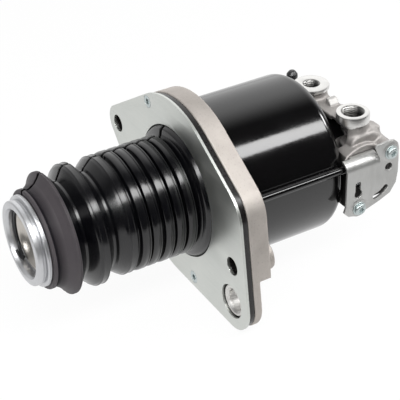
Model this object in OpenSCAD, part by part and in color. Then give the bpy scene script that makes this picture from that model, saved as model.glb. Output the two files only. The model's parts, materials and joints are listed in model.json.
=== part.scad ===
// Clutch actuator: an air-assisted hydraulic cylinder with a push rod, a rubber bellows and a relay valve.
// Frame: +X is the way the rod pushes, +Z is the way the ports face, +Y is the relay valve's side.
// The origin is on the rod's axis, in the front face of the cover plate.

/* [Cover plate] */
// Thickness of the cover plate
plate_t = 2; // [1.5:0.1:3]
// Radius of the hole that the bellows stands in
plate_hole_r = 48; // [46:0.5:50]
// Radius of the round middle of the outline
body_round_r = 69; // [66:0.5:72]
// Distance of the round middle's centre towards the long ear
body_round_shift = 2; // [0:0.5:4]
// Radius of the long ear's end
long_ear_r = 13.5; // [12:0.5:16]
// Radius of the upper corner on the valve side
upper_corner_r = 25; // [20:1:30]
// Radius of the lower corner round the locating sleeve
lower_corner_r = 20.5; // [19:0.5:24]
// Place of the long ear's bolt hole across the rod's axis
bolt_a_y = -85.6; // [-90:0.1:-82]
// Height of the long ear's bolt hole
bolt_a_z = 12.3; // [6:0.1:18]
// Place of the other bolt hole across the rod's axis
bolt_b_y = 73.1; // [71:0.1:76]
// Height of the other bolt hole
bolt_b_z = -18.9; // [-24:0.1:-14]
// Radius of the clearance holes for the mounting bolts
bolt_hole_r = 6.5; // [5.5:0.1:7]
// Place of the locating sleeve across the rod's axis
sleeve_y = 71.6; // [69:0.1:74]
// Height of the locating sleeve
sleeve_z = -49.1; // [-54:0.1:-47]
// Radius of the plate's hole over the locating sleeve
sleeve_window_r = 12.3; // [11.5:0.1:13]

/* [Packing sheet] */
// Thickness of the packing sheet
packing_t = 4.5; // [3:0.5:6]
// Step of the packing sheet behind the plate's edge
packing_inset = 1.3; // [0.5:0.1:3]
// Radius of the packing sheet's hole
packing_hole_r = 43; // [42.8:0.1:48]

/* [Front flange] */
// Thickness of the cast flange
flange_t = 14.5; // [12:0.5:18]
// Step of the casting's edge behind the plate's edge
flange_inset = 0.6; // [0.2:0.1:2]
// Thickness of the lower ear round the locating sleeve
low_ear_t = 5.8; // [4:0.2:8]
// Radius of the thin zone round the locating sleeve
low_ear_zone_r = 23; // [21:0.5:24]
// Radius of the bolt bosses
boss_r = 11; // [9:0.5:12]
// Reach of the bolt bosses behind the flange
boss_reach = 6; // [3:0.5:9]
// Radius of the spigot that carries the bellows
spigot_r = 36; // [34:0.5:38]
// Height of the bead on the spigot's rim
spigot_bead = 1.2; // [0.6:0.1:1.6]
// Distance of the spigot's front end behind the plate's face
spigot_setback = 1.5; // [0.5:0.5:3]
// Depth of the return spring's pocket into the flange
spring_pocket_depth = 8; // [4:0.5:9]

/* [Cover screws and locating sleeve] */
// Radius of the countersunk heads
cover_head_r = 4.5; // [4:0.1:6]
// Radius of the screws' shanks
cover_shank_r = 2.5; // [2:0.1:3]
// Length of the cover screws
cover_screw_len = 16; // [12:1:18]
// Distance of the cover screws' circle inside the outline's round middle
cover_screw_inset = 4.4; // [3:0.1:8]
// Angle of the first cover screw
cover_screw_a = 124; // [110:1:140]
// Angle of the second cover screw
cover_screw_b = -71.5; // [-80:0.5:-60]
// Outer radius of the locating sleeve
locate_out_r = 10; // [9.5:0.1:11]
// Bore radius of the locating sleeve
locate_bore_r = 8; // [7:0.1:8.5]
// Length of the locating sleeve
locate_len = 10; // [8:0.5:12]

/* [Air cylinder] */
// Outer radius of the can
can_r = 57.7; // [57:0.1:58.2]
// Wall of the can
can_wall = 1.5; // [1.2:0.1:2]
// Distance from the plate's face to the can's rear face
can_rear = 103; // [100:0.5:106]
// Radius of the can's rounded rear edge
can_round_r = 9; // [6:0.5:10]
// Depth of the can's lip in the flange's groove
can_lip = 4; // [3:0.5:5]
// Radius of the step behind the can
neck_r = 36; // [35:0.2:36.6]
// Length of the step behind the can
neck_len = 5; // [4:0.5:7]
// Radius of the step's rounded edge
neck_round_r = 3; // [2:0.5:4]

/* [Push rod and pistons] */
// Outer radius of the push tube
tube_r = 19; // [18.5:0.1:20]
// Wall of the push tube
tube_wall = 2.6; // [2.2:0.1:2.6]
// Distance from the plate's face to the nose's front face
nose_front = 117.1; // [112:0.1:122]
// Thickness of the air piston's rim
piston_rim_t = 14; // [12:0.5:15]
// Distance from the plate's face to the air piston's front edge
piston_front = 52; // [50:0.5:53]
// Radial gap between the piston's rim and the can
piston_gap = 0.6; // [0.4:0.1:1]
// Radial running clearance of sliding seals and bushes
run_gap = 0.06; // [0.03:0.01:0.1]
// Radial gap between the hydraulic sleeve and the push tube
hyd_sleeve_gap = 0.4; // [0.3:0.1:1]
// Wall of the hydraulic sleeve
hyd_sleeve_wall = 3.5; // [2.5:0.1:4.5]
// Reach of the hydraulic sleeve into the valve housing
hyd_sleeve_back = 17; // [14:1:20]
// Distance from the plate's face to the hydraulic sleeve's front end
hyd_sleeve_front = 45; // [42:1:48]
// Length of the hydraulic piston
hyd_piston_len = 12; // [10:0.5:14]
// Distance from the plate's face to the hydraulic piston's crown
hyd_piston_x = 86; // [84:0.5:88]

/* [Nose] */
// Outer radius of the nose ring's front lip
nose_lip_r = 29.3; // [28:0.1:30]
// Radius of the nose ring's rear collar
nose_collar_r = 31.6; // [31:0.1:33]
// Radius of the mouth
nose_mouth_r = 23.2; // [22:0.1:24]
// Radius of the ball cup
cup_r = 20.4; // [19.5:0.1:21]
// Radius of the ball that the cup takes
ball_r = 13; // [12:0.5:14]
// Distance of the cup's face behind the nose's front face
cup_setback = 9; // [8:0.5:10]
// Length of the ball cup
cup_len = 24; // [23:0.5:26]
// Depth of the cup's tapered mouth
cup_taper_len = 5; // [3:0.5:6]
// Length of the cup's straight wall
cup_wall_len = 4.5; // [4.2:0.1:5]

/* [Bellows] */
// Radius over the bellows' folds
fold_r = 42.4; // [41:0.1:43]
// Wall of the rubber
rubber_t = 1.8; // [1.4:0.1:2.2]
// Radius of the narrow folds' valleys
shallow_valley_r = 38.2; // [37.5:0.1:39]
// Radius of the wide folds' valleys
deep_valley_r = 33.6; // [33:0.1:35]
// Outer radius of the front bead
bead_r = 34.5; // [33.5:0.1:36]

/* [Valve housing] */
// Radius of the housing's round flange
hub_flange_r = 34; // [32:0.5:36]
// Thickness of the housing's round flange
hub_flange_t = 14; // [13.5:0.5:16]
// Radius of the housing's hub behind its flange
hub_r = 21; // [20:0.5:24]
// Length of the housing's hub
hub_len = 40; // [36:1:44]
// Distance of the ports and relay valve behind the plate's face
port_back = 118; // [117:0.5:120]
// Place of the air port across the rod's axis
air_port_y = 41; // [39:0.5:43]
// Place of the hydraulic port across the rod's axis
hyd_port_y = -9; // [-12:0.5:-6]
// Height of the air port's face
air_port_z = 46; // [44:0.5:48]
// Height of the hydraulic port's face
hyd_port_z = 45; // [43:0.5:47]
// Outer radius of the air port's ring
air_ring_r = 11.7; // [11.2:0.1:12.2]
// Height of the air port's ring
air_ring_h = 7; // [6:0.5:8]
// Outer radius of the hydraulic port's ring
hyd_ring_r = 13; // [12:0.1:13.5]
// Height of the hydraulic port's ring
hyd_ring_h = 3; // [2:0.5:4]
// Step from each port's ring in to its neck
port_step = 1.4; // [1:0.1:2]
// Thread core radius of the air port, for M16 x 1.5
air_port_r = 7.25; // [7:0.05:7.5]
// Thread core radius of the hydraulic port, for M12 x 1.5
hyd_port_r = 5.25; // [5:0.05:5.5]
// Depth of both port threads
port_depth = 16; // [14:0.5:18]
// Radius of the relay valve's round end
relay_end_r = 22.2; // [21:0.1:23]
// Height of the relay valve's axis
relay_z = 4; // [2:0.5:6]
// Place of the relay valve's end face
relay_end_y = 56; // [54:0.5:57]
// Length of the relay valve's round end
relay_end_t = 13; // [6:0.5:14]
// Bore radius of the relay valve's wide end
relay_wide_r = 12; // [11.5:0.1:12.4]
// Bore radius of the relay piston
relay_piston_r = 9; // [8:0.1:9.5]
// Place of the bleed point across the rod's axis
bleed_y = -32; // [-34:0.5:-30]
// Height of the bleed screw's seat
bleed_seat_z = 30; // [28:0.5:32]

/* [Bracket and vent pipe] */
// Thickness of the bracket's sheet
bracket_t = 2; // [1.5:0.1:2.5]
// Distance of the bracket's inner face from the vent pipe's axis
bracket_stand = 4.48; // [4.44:0.02:5]
// Radius of the vent pipe
pipe_r = 2.8; // [2.5:0.1:2.9]
// Gap between the vent pipe and the can
pipe_gap = 0.3; // [0.2:0.1:1]
// Angle of the vent pipe round the can
pipe_angle = 13.9; // [12:0.1:16]
// Radius of the bracket screws' washer faces
bracket_washer_r = 5.2; // [4.5:0.1:6]
// Radius of the bracket screws' heads
bracket_head_r = 4.1; // [3.5:0.1:4.5]
// Height of the bracket screws' heads
bracket_head_h = 2.2; // [2:0.1:2.8]

/* [Hidden] */
$fn = 96;
hull_fn = 32;
eps = 0.01;

// Stations along the rod's axis, from the plate's face at zero
packing_x = -plate_t;
flange_x = packing_x - packing_t;
flange_back_x = flange_x - flange_t;
groove_x = flange_back_x + can_lip;
can_rear_x = -can_rear;
neck_rear_x = can_rear_x - neck_len;
hub_rear_x = neck_rear_x - hub_len;
port_x = -port_back;
can_in_r = can_r - can_wall;
cover_screw_pcr = body_round_r - cover_screw_inset;

// Upper and lower corners of the flange outline, which ring the bolt hole and the sleeve
upper_corner = [59.4, 14.7];
lower_corner = [sleeve_y, sleeve_z];

// The vent pipe lies beside the can
pipe_pos_r = can_r + pipe_gap + pipe_r;
pipe_y = pipe_pos_r * cos(pipe_angle);
pipe_z = pipe_pos_r * sin(pipe_angle);
bracket_y = pipe_y + bracket_stand;
pipe_socket_x = flange_back_x + 8;
pipe_rear_x = port_x + 6;
pipe_boss_x = can_rear_x - 1.5;
pipe_boss_r = 4.4;
pipe_seal_x = groove_x + 0.3;
pipe_seal_t = 2;
pipe_seal_w = 1.2;

// Sizes that pieces share
bush_out_r = tube_r + 4;
bush_front_x = -4;
wiper_out_r = bush_out_r + 1.5;
spigot_front_x = -spigot_setback;
wiper_depth = 4;
spring_wire_r = 1.75;
return_coil_r = 33;
pocket_x = flange_back_x + spring_pocket_depth;
piston_front_x = -piston_front;
piston_rear_x = piston_front_x - piston_rim_t;
piston_web_x = piston_front_x - 7;
piston_web_t = 5;
piston_rim_r = can_in_r - piston_gap;
hub_front_x = piston_web_x + 4;
hub_back_x = piston_web_x - piston_web_t - 5;
tube_rear_x = hub_back_x - 8;
tube_in_r = tube_r - tube_wall;
hyd_sleeve_r = tube_in_r - hyd_sleeve_gap;
hyd_r = hyd_sleeve_r - hyd_sleeve_wall;
tube_web_x = -12;
tube_web_t = 7;
rod_r = 6;
boot_in_r = spigot_r + spigot_bead + 0.35;
band_seat_r = boot_in_r + 2.55;
cuff_out_r = boot_in_r + 4.55;
hyd_crown_x = -hyd_piston_x;
hyd_skirt_x = hyd_crown_x + hyd_piston_len;
sleeve_rear_x = neck_rear_x - hyd_sleeve_back;
hyd_end_x = sleeve_rear_x - 8;
screw_circle_r = (hyd_sleeve_r + neck_r) / 2 + 1;
screw_hole_r = 3.3;
screw_head_t = 3;

// Nose stations
nose_lip_len = 4;
nose_groove_len = 1.8;
nose_groove_r = nose_lip_r - 1.2;
collar_front_x = nose_front - nose_lip_len - nose_groove_len;
collar_len = 3;
bead_front_x = collar_front_x - collar_len;
bead_len = 5;
bead_seat_r = nose_collar_r - 2.4;
bead_rear_x = bead_front_x - bead_len;
nose_rear_x = bead_rear_x - 3;
cup_front_x = nose_front - cup_setback;
cup_rear_x = cup_front_x - cup_len;
cup_bore_r = nose_mouth_r - 1.6;
nose_hub_x = cup_rear_x - 5;
tube_front_x = cup_rear_x;

// Relay valve stations along Y
relay_foot_y = 19.5;
relay_wide_y = neck_r + 1.5;
seat_t = 3;
cap_inner_y = 48.5;
valve_disc_t = 2.6;
valve_disc_r = 7.6;
valve_stem_r = 3;
piston_top_y = 30;
piston_foot_y = relay_foot_y + 0.6;
seat_lip = 1;
bleed_x = port_x + 1;
bleed_drill_z = 6;
air_drill_y = relay_wide_y + seat_t + seat_lip + 2.2;

// Moves a child's Z axis onto the rod's axis
module on_x() {
    rotate([0, 90, 0]) children();
}

// Round bar along the rod's axis
module bar_x(x0, x1, r) {
    translate([x0, 0, 0]) on_x() cylinder(h = x1 - x0, r = r);
}

// Round bar along Y
module bar_y(y0, y1, r) {
    translate([0, y0, 0]) rotate([-90, 0, 0]) cylinder(h = y1 - y0, r = r);
}

// Ring along the rod's axis
module ring_x(x0, x1, r_out, r_in) {
    difference() {
        bar_x(x0, x1, r_out);
        bar_x(x0 - 1, x1 + 1, r_in);
    }
}

// Ring along Y
module ring_y(y0, y1, r_out, r_in) {
    difference() {
        bar_y(y0, y1, r_out);
        bar_y(y0 - 1, y1 + 1, r_in);
    }
}

// Solid of revolution round the rod's axis, from points of radius and station
module turned(points) {
    on_x() rotate_extrude() polygon(points);
}

// O-ring round the rod's axis
module o_ring_x(x, ring_r, cord_r) {
    translate([x, 0, 0]) on_x() rotate_extrude() translate([ring_r, 0]) circle(r = cord_r, $fn = 24);
}

// Places a child at a station with Y and Z as its plane
module at_yz(y, z) {
    translate([0, y, z]) children();
}

// Outline shared by the plate, the packing and the flange, drawn in Y and Z
module outline(inset) {
    hull() {
        translate([-body_round_shift, 0]) circle(r = body_round_r - inset, $fn = 144);
        translate([bolt_a_y, bolt_a_z]) circle(r = long_ear_r - inset, $fn = 64);
        translate(upper_corner) circle(r = upper_corner_r - inset, $fn = 64);
        translate(lower_corner) circle(r = lower_corner_r - inset, $fn = 64);
    }
}

// Sheet with the shared outline, from x0 back over thickness t
module outline_slab(x0, t, inset) {
    translate([x0 - t, 0, 0]) rotate([90, 0, 90]) linear_extrude(height = t) outline(inset);
}

// Places a child on each cover screw's axis
module at_cover_screws() {
    for (a = [cover_screw_a, cover_screw_b])
        at_yz(cover_screw_pcr * cos(a), cover_screw_pcr * sin(a)) children();
}

// Places a child on each bolt's axis
module at_bolts() {
    at_yz(bolt_a_y, bolt_a_z) children();
    at_yz(bolt_b_y, bolt_b_z) children();
}

// Points of one ring of a coil spring's wire
function coil_ring(a, rise, coil_r, wire_r, sides) = [
    for (k = [0 : sides - 1])
        let (b = 360 * k / sides, r = coil_r + wire_r * cos(b))
            [rise * a / 360 + wire_r * sin(b), r * cos(a), r * sin(a)]
];

// Coil spring along the rod's axis, from x0 over its length
module coil_x(x0, length, coil_r, wire_r, turns, steps, sides) {
    rise = (length - 2 * wire_r) / turns;
    last = turns * steps;
    points = [for (i = [0 : last]) each coil_ring(360 * i / steps, rise, coil_r, wire_r, sides)];
    walls = [
        for (i = [0 : last - 1], k = [0 : sides - 1])
            let (n = (k + 1) % sides)
                [i * sides + k, i * sides + n, (i + 1) * sides + n, (i + 1) * sides + k]
    ];
    first_cap = [[for (k = [0 : sides - 1]) sides - 1 - k]];
    last_cap = [[for (k = [0 : sides - 1]) last * sides + k]];
    translate([x0 + wire_r, 0, 0]) polyhedron(points = points, faces = concat(first_cap, walls, last_cap));
}

// Cover plate with its bellows hole, bolt holes, sleeve window and countersinks
module cover_plate() {
    color("#cfd0c9") difference() {
        outline_slab(0, plate_t, 0);
        bar_x(-plate_t - 1, 1, plate_hole_r);
        at_bolts() bar_x(-plate_t - 1, 1, bolt_hole_r);
        at_yz(sleeve_y, sleeve_z) bar_x(-plate_t - 1, 1, sleeve_window_r);
        at_cover_screws() turned([
            [0, -plate_t - 1], [cover_shank_r + 0.2, -plate_t - 1], [cover_shank_r + 0.2, -plate_t],
            [cover_head_r + 0.1, 0], [cover_head_r + 0.1, 1], [0, 1]
        ]);
    }
}

// Dark packing sheet between plate and casting
module packing_sheet() {
    color("#26221f") difference() {
        outline_slab(packing_x, packing_t, packing_inset);
        bar_x(flange_x - 1, 1, packing_hole_r);
        at_bolts() bar_x(flange_x - 1, 1, bolt_hole_r);
        at_yz(sleeve_y, sleeve_z) bar_x(flange_x - 1, 1, sleeve_window_r);
        at_cover_screws() bar_x(flange_x - 1, 1, cover_shank_r + 0.2);
    }
}

// Casting that carries the bellows in front and the can behind
module front_flange() {
    color("#c9c2bb") difference() {
        union() {
            outline_slab(flange_x, flange_t, flange_inset);
            at_bolts() bar_x(flange_back_x - boss_reach, flange_x, boss_r);
            turned([
                [bush_out_r - 1, flange_x - 2], [spigot_r, flange_x - 2], [spigot_r, spigot_front_x - 3],
                [spigot_r + spigot_bead, spigot_front_x - 2], [spigot_r, spigot_front_x - eps],
                [spigot_r - 1, spigot_front_x], [bush_out_r - 1, spigot_front_x]
            ]);
            bar_x(flange_back_x - 3, flange_x, bush_out_r + 4);
        }
        low_ear_relief();
        at_bolts() bar_x(flange_back_x - boss_reach - 1, 1, bolt_hole_r);
        at_yz(sleeve_y, sleeve_z) bar_x(flange_back_x - 1, 1, locate_out_r);
        at_cover_screws() bar_x(flange_x - cover_screw_len + 3, 1, cover_shank_r);
        bar_x(flange_back_x - 4, 1, bush_out_r);
        bar_x(spigot_front_x - wiper_depth, 1, wiper_out_r);
        ring_x(flange_back_x - 1, groove_x, can_r + 0.05, can_in_r - 0.05);
        ring_x(groove_x - 2, groove_x, can_in_r + eps, can_in_r - 2);
        ring_x(flange_back_x - 1, pocket_x, return_coil_r + 6, bush_out_r + 4);
        at_yz(pipe_y, pipe_z) bar_x(flange_back_x - 1, pipe_socket_x, pipe_r + 0.1);
        at_yz(pipe_y, pipe_z)
            bar_x(pipe_seal_x - 0.1, pipe_seal_x + pipe_seal_t + 0.1, pipe_r + pipe_seal_w);
        air_passage();
    }
}

// Relief that leaves the lower ear thin behind, clear of the bolt boss
module low_ear_relief() {
    difference() {
        at_yz(sleeve_y, sleeve_z) bar_x(flange_back_x - 1, flange_x - low_ear_t, low_ear_zone_r);
        bar_x(flange_back_x - 2, flange_x, can_r + 5);
        at_yz(bolt_b_y, bolt_b_z) bar_x(flange_back_x - 2, flange_x, boss_r);
    }
}

// Drilling from the vent pipe's socket to the front of the air cylinder
module air_passage() {
    at_yz(pipe_y, pipe_z) bar_x(pipe_socket_x - 1, pipe_socket_x + 3, 1.5);
    translate([pipe_socket_x + 1.5, 0, 0]) rotate([pipe_angle, 0, 0]) bar_y(can_in_r - 5, pipe_pos_r, 1.5);
    translate([0, (can_in_r - 4) * cos(pipe_angle), (can_in_r - 4) * sin(pipe_angle)])
        bar_x(flange_back_x - 1, pipe_socket_x + 1.5, 1.5);
}

// Countersunk screws that hold the plate to the casting
module cover_screws() {
    color("#c3cbd0") at_cover_screws() difference() {
        turned([
            [0, -cover_screw_len], [cover_shank_r, -cover_screw_len + 1], [cover_shank_r, -plate_t],
            [cover_head_r, -0.05], [cover_head_r, 0], [0, 0]
        ]);
        bar_x(-1.2, 1, 1.6);
    }
}

// Pressed sleeve that locates the actuator on its housing
module locating_sleeve() {
    color("#b9b7b3") at_yz(sleeve_y, sleeve_z) turned([
        [locate_bore_r, -plate_t - 2 - locate_len], [locate_out_r, -plate_t - 2 - locate_len],
        [locate_out_r, -plate_t - 2], [locate_bore_r + 1.2, -plate_t - 2], [locate_bore_r, -plate_t - 3.2]
    ]);
}

// Deep drawn can with its stepped rear end
module air_cylinder() {
    neck_in_r = neck_r - can_wall;
    color("#141416") difference() {
        union() {
            rounded_bar(can_rear_x, groove_x, can_r, can_round_r);
            rounded_bar(neck_rear_x, can_rear_x + can_round_r, neck_r, neck_round_r);
        }
        rounded_bar(can_rear_x + can_wall, 0, can_in_r, can_round_r - can_wall);
        rounded_bar(neck_rear_x + can_wall, can_rear_x + can_round_r, neck_in_r, neck_round_r - can_wall);
        bar_x(neck_rear_x - 1, neck_rear_x + 3, hyd_sleeve_r + 0.1);
        at_cylinder_screws() bar_x(neck_rear_x - 1, neck_rear_x + 3, screw_hole_r);
    }
}

// Round bar whose rear edge is rounded by a true quarter circle
module rounded_bar(x0, x1, r, round_r) {
    on_x() rotate_extrude() union() {
        translate([0, x0 + round_r]) square([r, x1 - x0 - round_r]);
        translate([0, x0]) square([r - round_r, round_r + 1]);
        intersection() {
            translate([r - round_r, x0 + round_r]) circle(r = round_r);
            translate([r - round_r, x0]) square([round_r, round_r + 1]);
        }
    }
}

// Places a child on each screw between can and valve housing
module at_cylinder_screws() {
    for (a = [45 : 90 : 315]) at_yz(screw_circle_r * cos(a), screw_circle_r * sin(a)) children();
}

// O-ring between the can's lip and the flange
module cylinder_seal() {
    color("#1a1a1a") o_ring_x(groove_x - 1, can_in_r - 1, 0.98);
}

// Screws from inside the can into the valve housing
module cylinder_screws() {
    color("#8d9095") at_cylinder_screws() union() {
        bar_x(neck_rear_x - 12, neck_rear_x + can_wall + eps, screw_hole_r - 0.3);
        difference() {
            bar_x(neck_rear_x + can_wall, neck_rear_x + can_wall + screw_head_t, screw_hole_r + 2);
            translate([neck_rear_x + can_wall + 1.2, 0, 0]) on_x() cylinder(h = 4, r = 2.4, $fn = 6);
        }
    }
}

// Plain bush that guides the push tube
module guide_bush() {
    color("#b08d57") ring_x(flange_back_x - 3, spigot_front_x - wiper_depth, bush_out_r, tube_r + run_gap);
}

// Lip ring that wipes the push tube
module rod_wiper() {
    color("#202022")
        ring_x(spigot_front_x - wiper_depth, spigot_front_x + 0.5, wiper_out_r, tube_r + run_gap);
}

// Band that clamps the bellows on the spigot
module boot_band() {
    color("#8f9296") ring_x(flange_x + 0.3, flange_x + 2.3, band_seat_r + 1.5, band_seat_r + 0.3);
}

// Cast housing of the hydraulic end and the relay valve
module valve_housing() {
    color("#cbcac8") difference() {
        union() {
            bar_x(neck_rear_x - hub_flange_t, neck_rear_x, hub_flange_r);
            bar_x(hub_rear_x, neck_rear_x, hub_r);
            bar_x(hub_rear_x - 4, hub_rear_x, hub_r - 4);
            relay_body();
            port_column(air_port_y, air_port_z, air_ring_r, air_ring_h);
            port_column(hyd_port_y, hyd_port_z, hyd_ring_r, hyd_ring_h);
            port_web();
            translate([bleed_x, bleed_y, 0]) cylinder(h = bleed_seat_z, r = 8);
            port_rib();
            bracket_bosses();
        }
        can_clearance();
        port_bore(air_port_y, air_port_z, air_port_r, 1.5);
        port_bore(hyd_port_y, hyd_port_z, hyd_port_r, 0.5);
        translate([port_x, air_drill_y, relay_z])
            cylinder(h = air_port_z - port_depth - relay_z + 1, r = 2.4);
        translate([port_x, hyd_port_y, 0]) cylinder(h = hyd_port_z - port_depth + 1, r = 2);
        bar_x(sleeve_rear_x, 0, hyd_sleeve_r);
        bar_x(hyd_end_x, 0, hyd_r);
        translate([bleed_x, bleed_y, 12]) cylinder(h = 40, r = 4);
        translate([bleed_x, bleed_y, bleed_drill_z]) cylinder(h = 10, r = 1.5);
        translate([bleed_x, 0, bleed_drill_z]) bar_y(bleed_y, 0, 1.5);
        relay_bores();
        at_cylinder_screws() bar_x(neck_rear_x - 13, 1, screw_hole_r - 0.3);
        at_bracket_screws() bar_y(bracket_y - 12, bracket_y + 1, 2.6);
        at_yz(pipe_y, pipe_z) bar_x(pipe_rear_x, 1, pipe_r + 0.1);
        at_yz(pipe_y, pipe_z) bar_x(pipe_boss_x - 3, 1, pipe_r + 1);
    }
}

// Space that the can and its step take out of the valve housing
module can_clearance() {
    bar_x(can_rear_x - 0.4, 1, can_r + 0.4);
    bar_x(neck_rear_x, 1, neck_r + 0.4);
}

// Block of the relay valve with its round end and its barrel
module relay_body() {
    hull() {
        relay_corner(2, 25, 44, 6);
        relay_corner(-9, 26, 44, 6);
        relay_corner(-21, 13, 44, 7);
        relay_corner(-21, -15, 44, 7);
        relay_corner(2, -16, 44, 6);
    }
    hull() {
        relay_corner(-12, 23, 14, 6);
        relay_corner(-21, 13, 14, 7);
        relay_corner(-21, -15, 14, 7);
        relay_corner(-12, -16, 14, 6);
    }
    translate([port_x, 0, relay_z]) {
        bar_y(14, 45, relay_wide_r + 3.4);
        bar_y(relay_end_y - relay_end_t, relay_end_y, relay_end_r);
    }
}

// One rounded edge of the relay valve's block, from y0 to its front face
module relay_corner(dx, z, y0, r) {
    translate([port_x + dx, 0, z]) rotate([-90, 0, 0]) translate([0, 0, y0])
        cylinder(h = relay_end_y - 4 - y0, r = r, $fn = hull_fn);
}

// Ring and neck of one port
module port_column(y, z, ring_r, ring_h) {
    foot_z = 10;
    translate([port_x, y, 0]) rotate_extrude() polygon([
        [0, foot_z], [ring_r - port_step, foot_z], [ring_r - port_step, z - ring_h - port_step],
        [ring_r, z - ring_h], [ring_r, z - 0.8], [ring_r - 0.8, z], [0, z]
    ]);
}

// Rib behind the air port's neck, with a top that slopes down
module port_rib() {
    neck_top_z = 37;
    rib_top_z = 30;
    hull() {
        translate([port_x - 6, air_port_y, 0]) cylinder(h = neck_top_z, r = 6, $fn = hull_fn);
        translate([port_x - 15.5, air_port_y, 0]) cylinder(h = rib_top_z, r = 5.5, $fn = hull_fn);
    }
}

// Threaded hole of one port with its entry chamfer
module port_bore(y, z, r, chamfer) {
    translate([port_x, y, 0]) rotate_extrude() polygon([
        [0, z - port_depth], [r, z - port_depth], [r, z - chamfer], [r + chamfer, z],
        [r + chamfer, z + 1], [0, z + 1]
    ]);
}

// Cast web between the ports, with its flat pad that slopes down at one side
module port_web() {
    web_z = hyd_port_z - 8;
    web_t = 4;
    web_w = 16;
    wall_foot_z = 10;
    pad_len = 7.4;
    pad_y = hyd_port_y + 18;
    translate([port_x - 9, hyd_port_y, web_z - web_t]) cube([web_w, air_port_y - hyd_port_y, web_t]);
    translate([port_x - 9, hyd_port_y, wall_foot_z])
        cube([web_t, air_port_y - hyd_port_y, web_z - wall_foot_z - web_t / 2]);
    translate([port_x - pad_len, pad_y, web_z]) rotate([90, 0, 90]) linear_extrude(height = pad_len)
        polygon([[0, -web_t / 2], [6.2, -web_t / 2], [6.2, 1.1], [3, 4.2], [0, 4.2]]);
}

// Places a child on each bracket screw's axis, given from the relay valve's axis
module at_bracket_screws() {
    for (p = [[-15.2, 16.8], [10, -20.6]]) translate([port_x + p[0], 0, relay_z + p[1]]) children();
}

// Bosses that carry the bracket, and the boss that takes the vent pipe
module bracket_bosses() {
    at_bracket_screws() bar_y(45, bracket_y, 5.5);
    at_yz(pipe_y, pipe_z) bar_x(pipe_rear_x - 4, pipe_boss_x, pipe_boss_r);
    translate([pipe_rear_x - 4, 50, pipe_z - 3.5]) cube([pipe_boss_x - pipe_rear_x + 3, pipe_y - 50, 7]);
}

// Stepped bore of the relay valve
module relay_bores() {
    translate([port_x, 0, relay_z]) {
        bar_y(relay_foot_y, bracket_y + 1, relay_piston_r);
        bar_y(relay_wide_y, bracket_y + 1, relay_wide_r);
        bar_y(relay_end_y - 3.2, relay_end_y - 1.8, relay_wide_r + 1);
        bar_y(10, relay_foot_y + 1, 1.5);
    }
}

// Steel sleeve that the hydraulic piston runs in
module hydraulic_sleeve() {
    color("#9a9da1") difference() {
        bar_x(sleeve_rear_x, -hyd_sleeve_front, hyd_sleeve_r);
        bar_x(sleeve_rear_x - 1, 1, hyd_r);
        ring_x(sleeve_rear_x + 4, sleeve_rear_x + 6.4, hyd_sleeve_r + 1, hyd_sleeve_r - 1.6);
        translate([port_x, 0, relay_z]) bar_y(5, 20, 1.5);
        translate([port_x, hyd_port_y, 5]) cylinder(h = 20, r = 2);
        translate([bleed_x, 0, bleed_drill_z]) bar_y(-20, -5, 1.5);
    }
}

// O-ring between the hydraulic sleeve and the housing
module sleeve_seal() {
    color("#1a1a1a") o_ring_x(sleeve_rear_x + 5.2, hyd_sleeve_r - 0.8, 0.78);
}

// Cap that closes the relay valve and guides the inlet valve
module relay_cap() {
    color("#b7b9bb") translate([port_x, 0, relay_z]) difference() {
        union() {
            bar_y(cap_inner_y, relay_end_y - 3.2, relay_wide_r);
            bar_y(cap_inner_y - 1.5, cap_inner_y, 6);
        }
        bar_y(cap_inner_y - 4, cap_inner_y + 2.8, valve_stem_r + run_gap);
        ring_y(cap_inner_y + 1.2, cap_inner_y + 3.2, relay_wide_r + 1, relay_wide_r - 1.6);
    }
}

// O-ring of the relay cap
module relay_cap_seal() {
    color("#1a1a1a") translate([port_x, cap_inner_y + 2.2, relay_z]) rotate([-90, 0, 0])
        rotate_extrude() translate([relay_wide_r - 0.8, 0]) circle(r = 0.78, $fn = 24);
}

// Snap ring that holds the relay cap
module relay_cap_ring() {
    color("#4a4c50") translate([port_x, 0, relay_z]) difference() {
        ring_y(relay_end_y - 3.15, relay_end_y - 1.9, relay_wide_r + 0.95, relay_wide_r - 1.4);
        translate([-3, relay_end_y - 4, -relay_wide_r - 3]) cube([6, 4, 7]);
    }
}

// Seat ring that the inlet valve closes on
module inlet_seat() {
    color("#c2a15a") translate([port_x, 0, relay_z]) difference() {
        union() {
            bar_y(relay_wide_y, relay_wide_y + seat_t, relay_wide_r);
            bar_y(relay_wide_y + seat_t, relay_wide_y + seat_t + seat_lip, 6.4);
        }
        bar_y(relay_wide_y - 1, relay_wide_y + 6, 5.2);
        ring_y(relay_wide_y + 0.8, relay_wide_y + 2.4, relay_wide_r + 1, relay_wide_r - 1.3);
    }
}

// O-ring of the seat ring
module inlet_seat_seal() {
    color("#1a1a1a") translate([port_x, relay_wide_y + 1.6, relay_z]) rotate([-90, 0, 0])
        rotate_extrude() translate([relay_wide_r - 0.65, 0]) circle(r = 0.63, $fn = 24);
}

// Piston that the hydraulic pressure lifts against the inlet valve
module relay_piston() {
    color("#b9bcc0") translate([port_x, 0, relay_z]) difference() {
        union() {
            bar_y(piston_foot_y, piston_top_y, relay_piston_r - run_gap);
            bar_y(piston_top_y, relay_wide_y + seat_t + seat_lip - 1, valve_stem_r);
        }
        ring_y(piston_foot_y + 3, piston_foot_y + 5.4, relay_piston_r + 1, relay_piston_r - 1.8);
        bar_y(piston_top_y - 3, relay_wide_y + 6, 1.2);
    }
}

// Ring seal of the relay piston
module relay_piston_seal() {
    color("#1a1a1a") translate([port_x, 0, relay_z])
        ring_y(piston_foot_y + 3, piston_foot_y + 5.4, relay_piston_r - run_gap / 2, relay_piston_r - 1.8);
}

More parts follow.
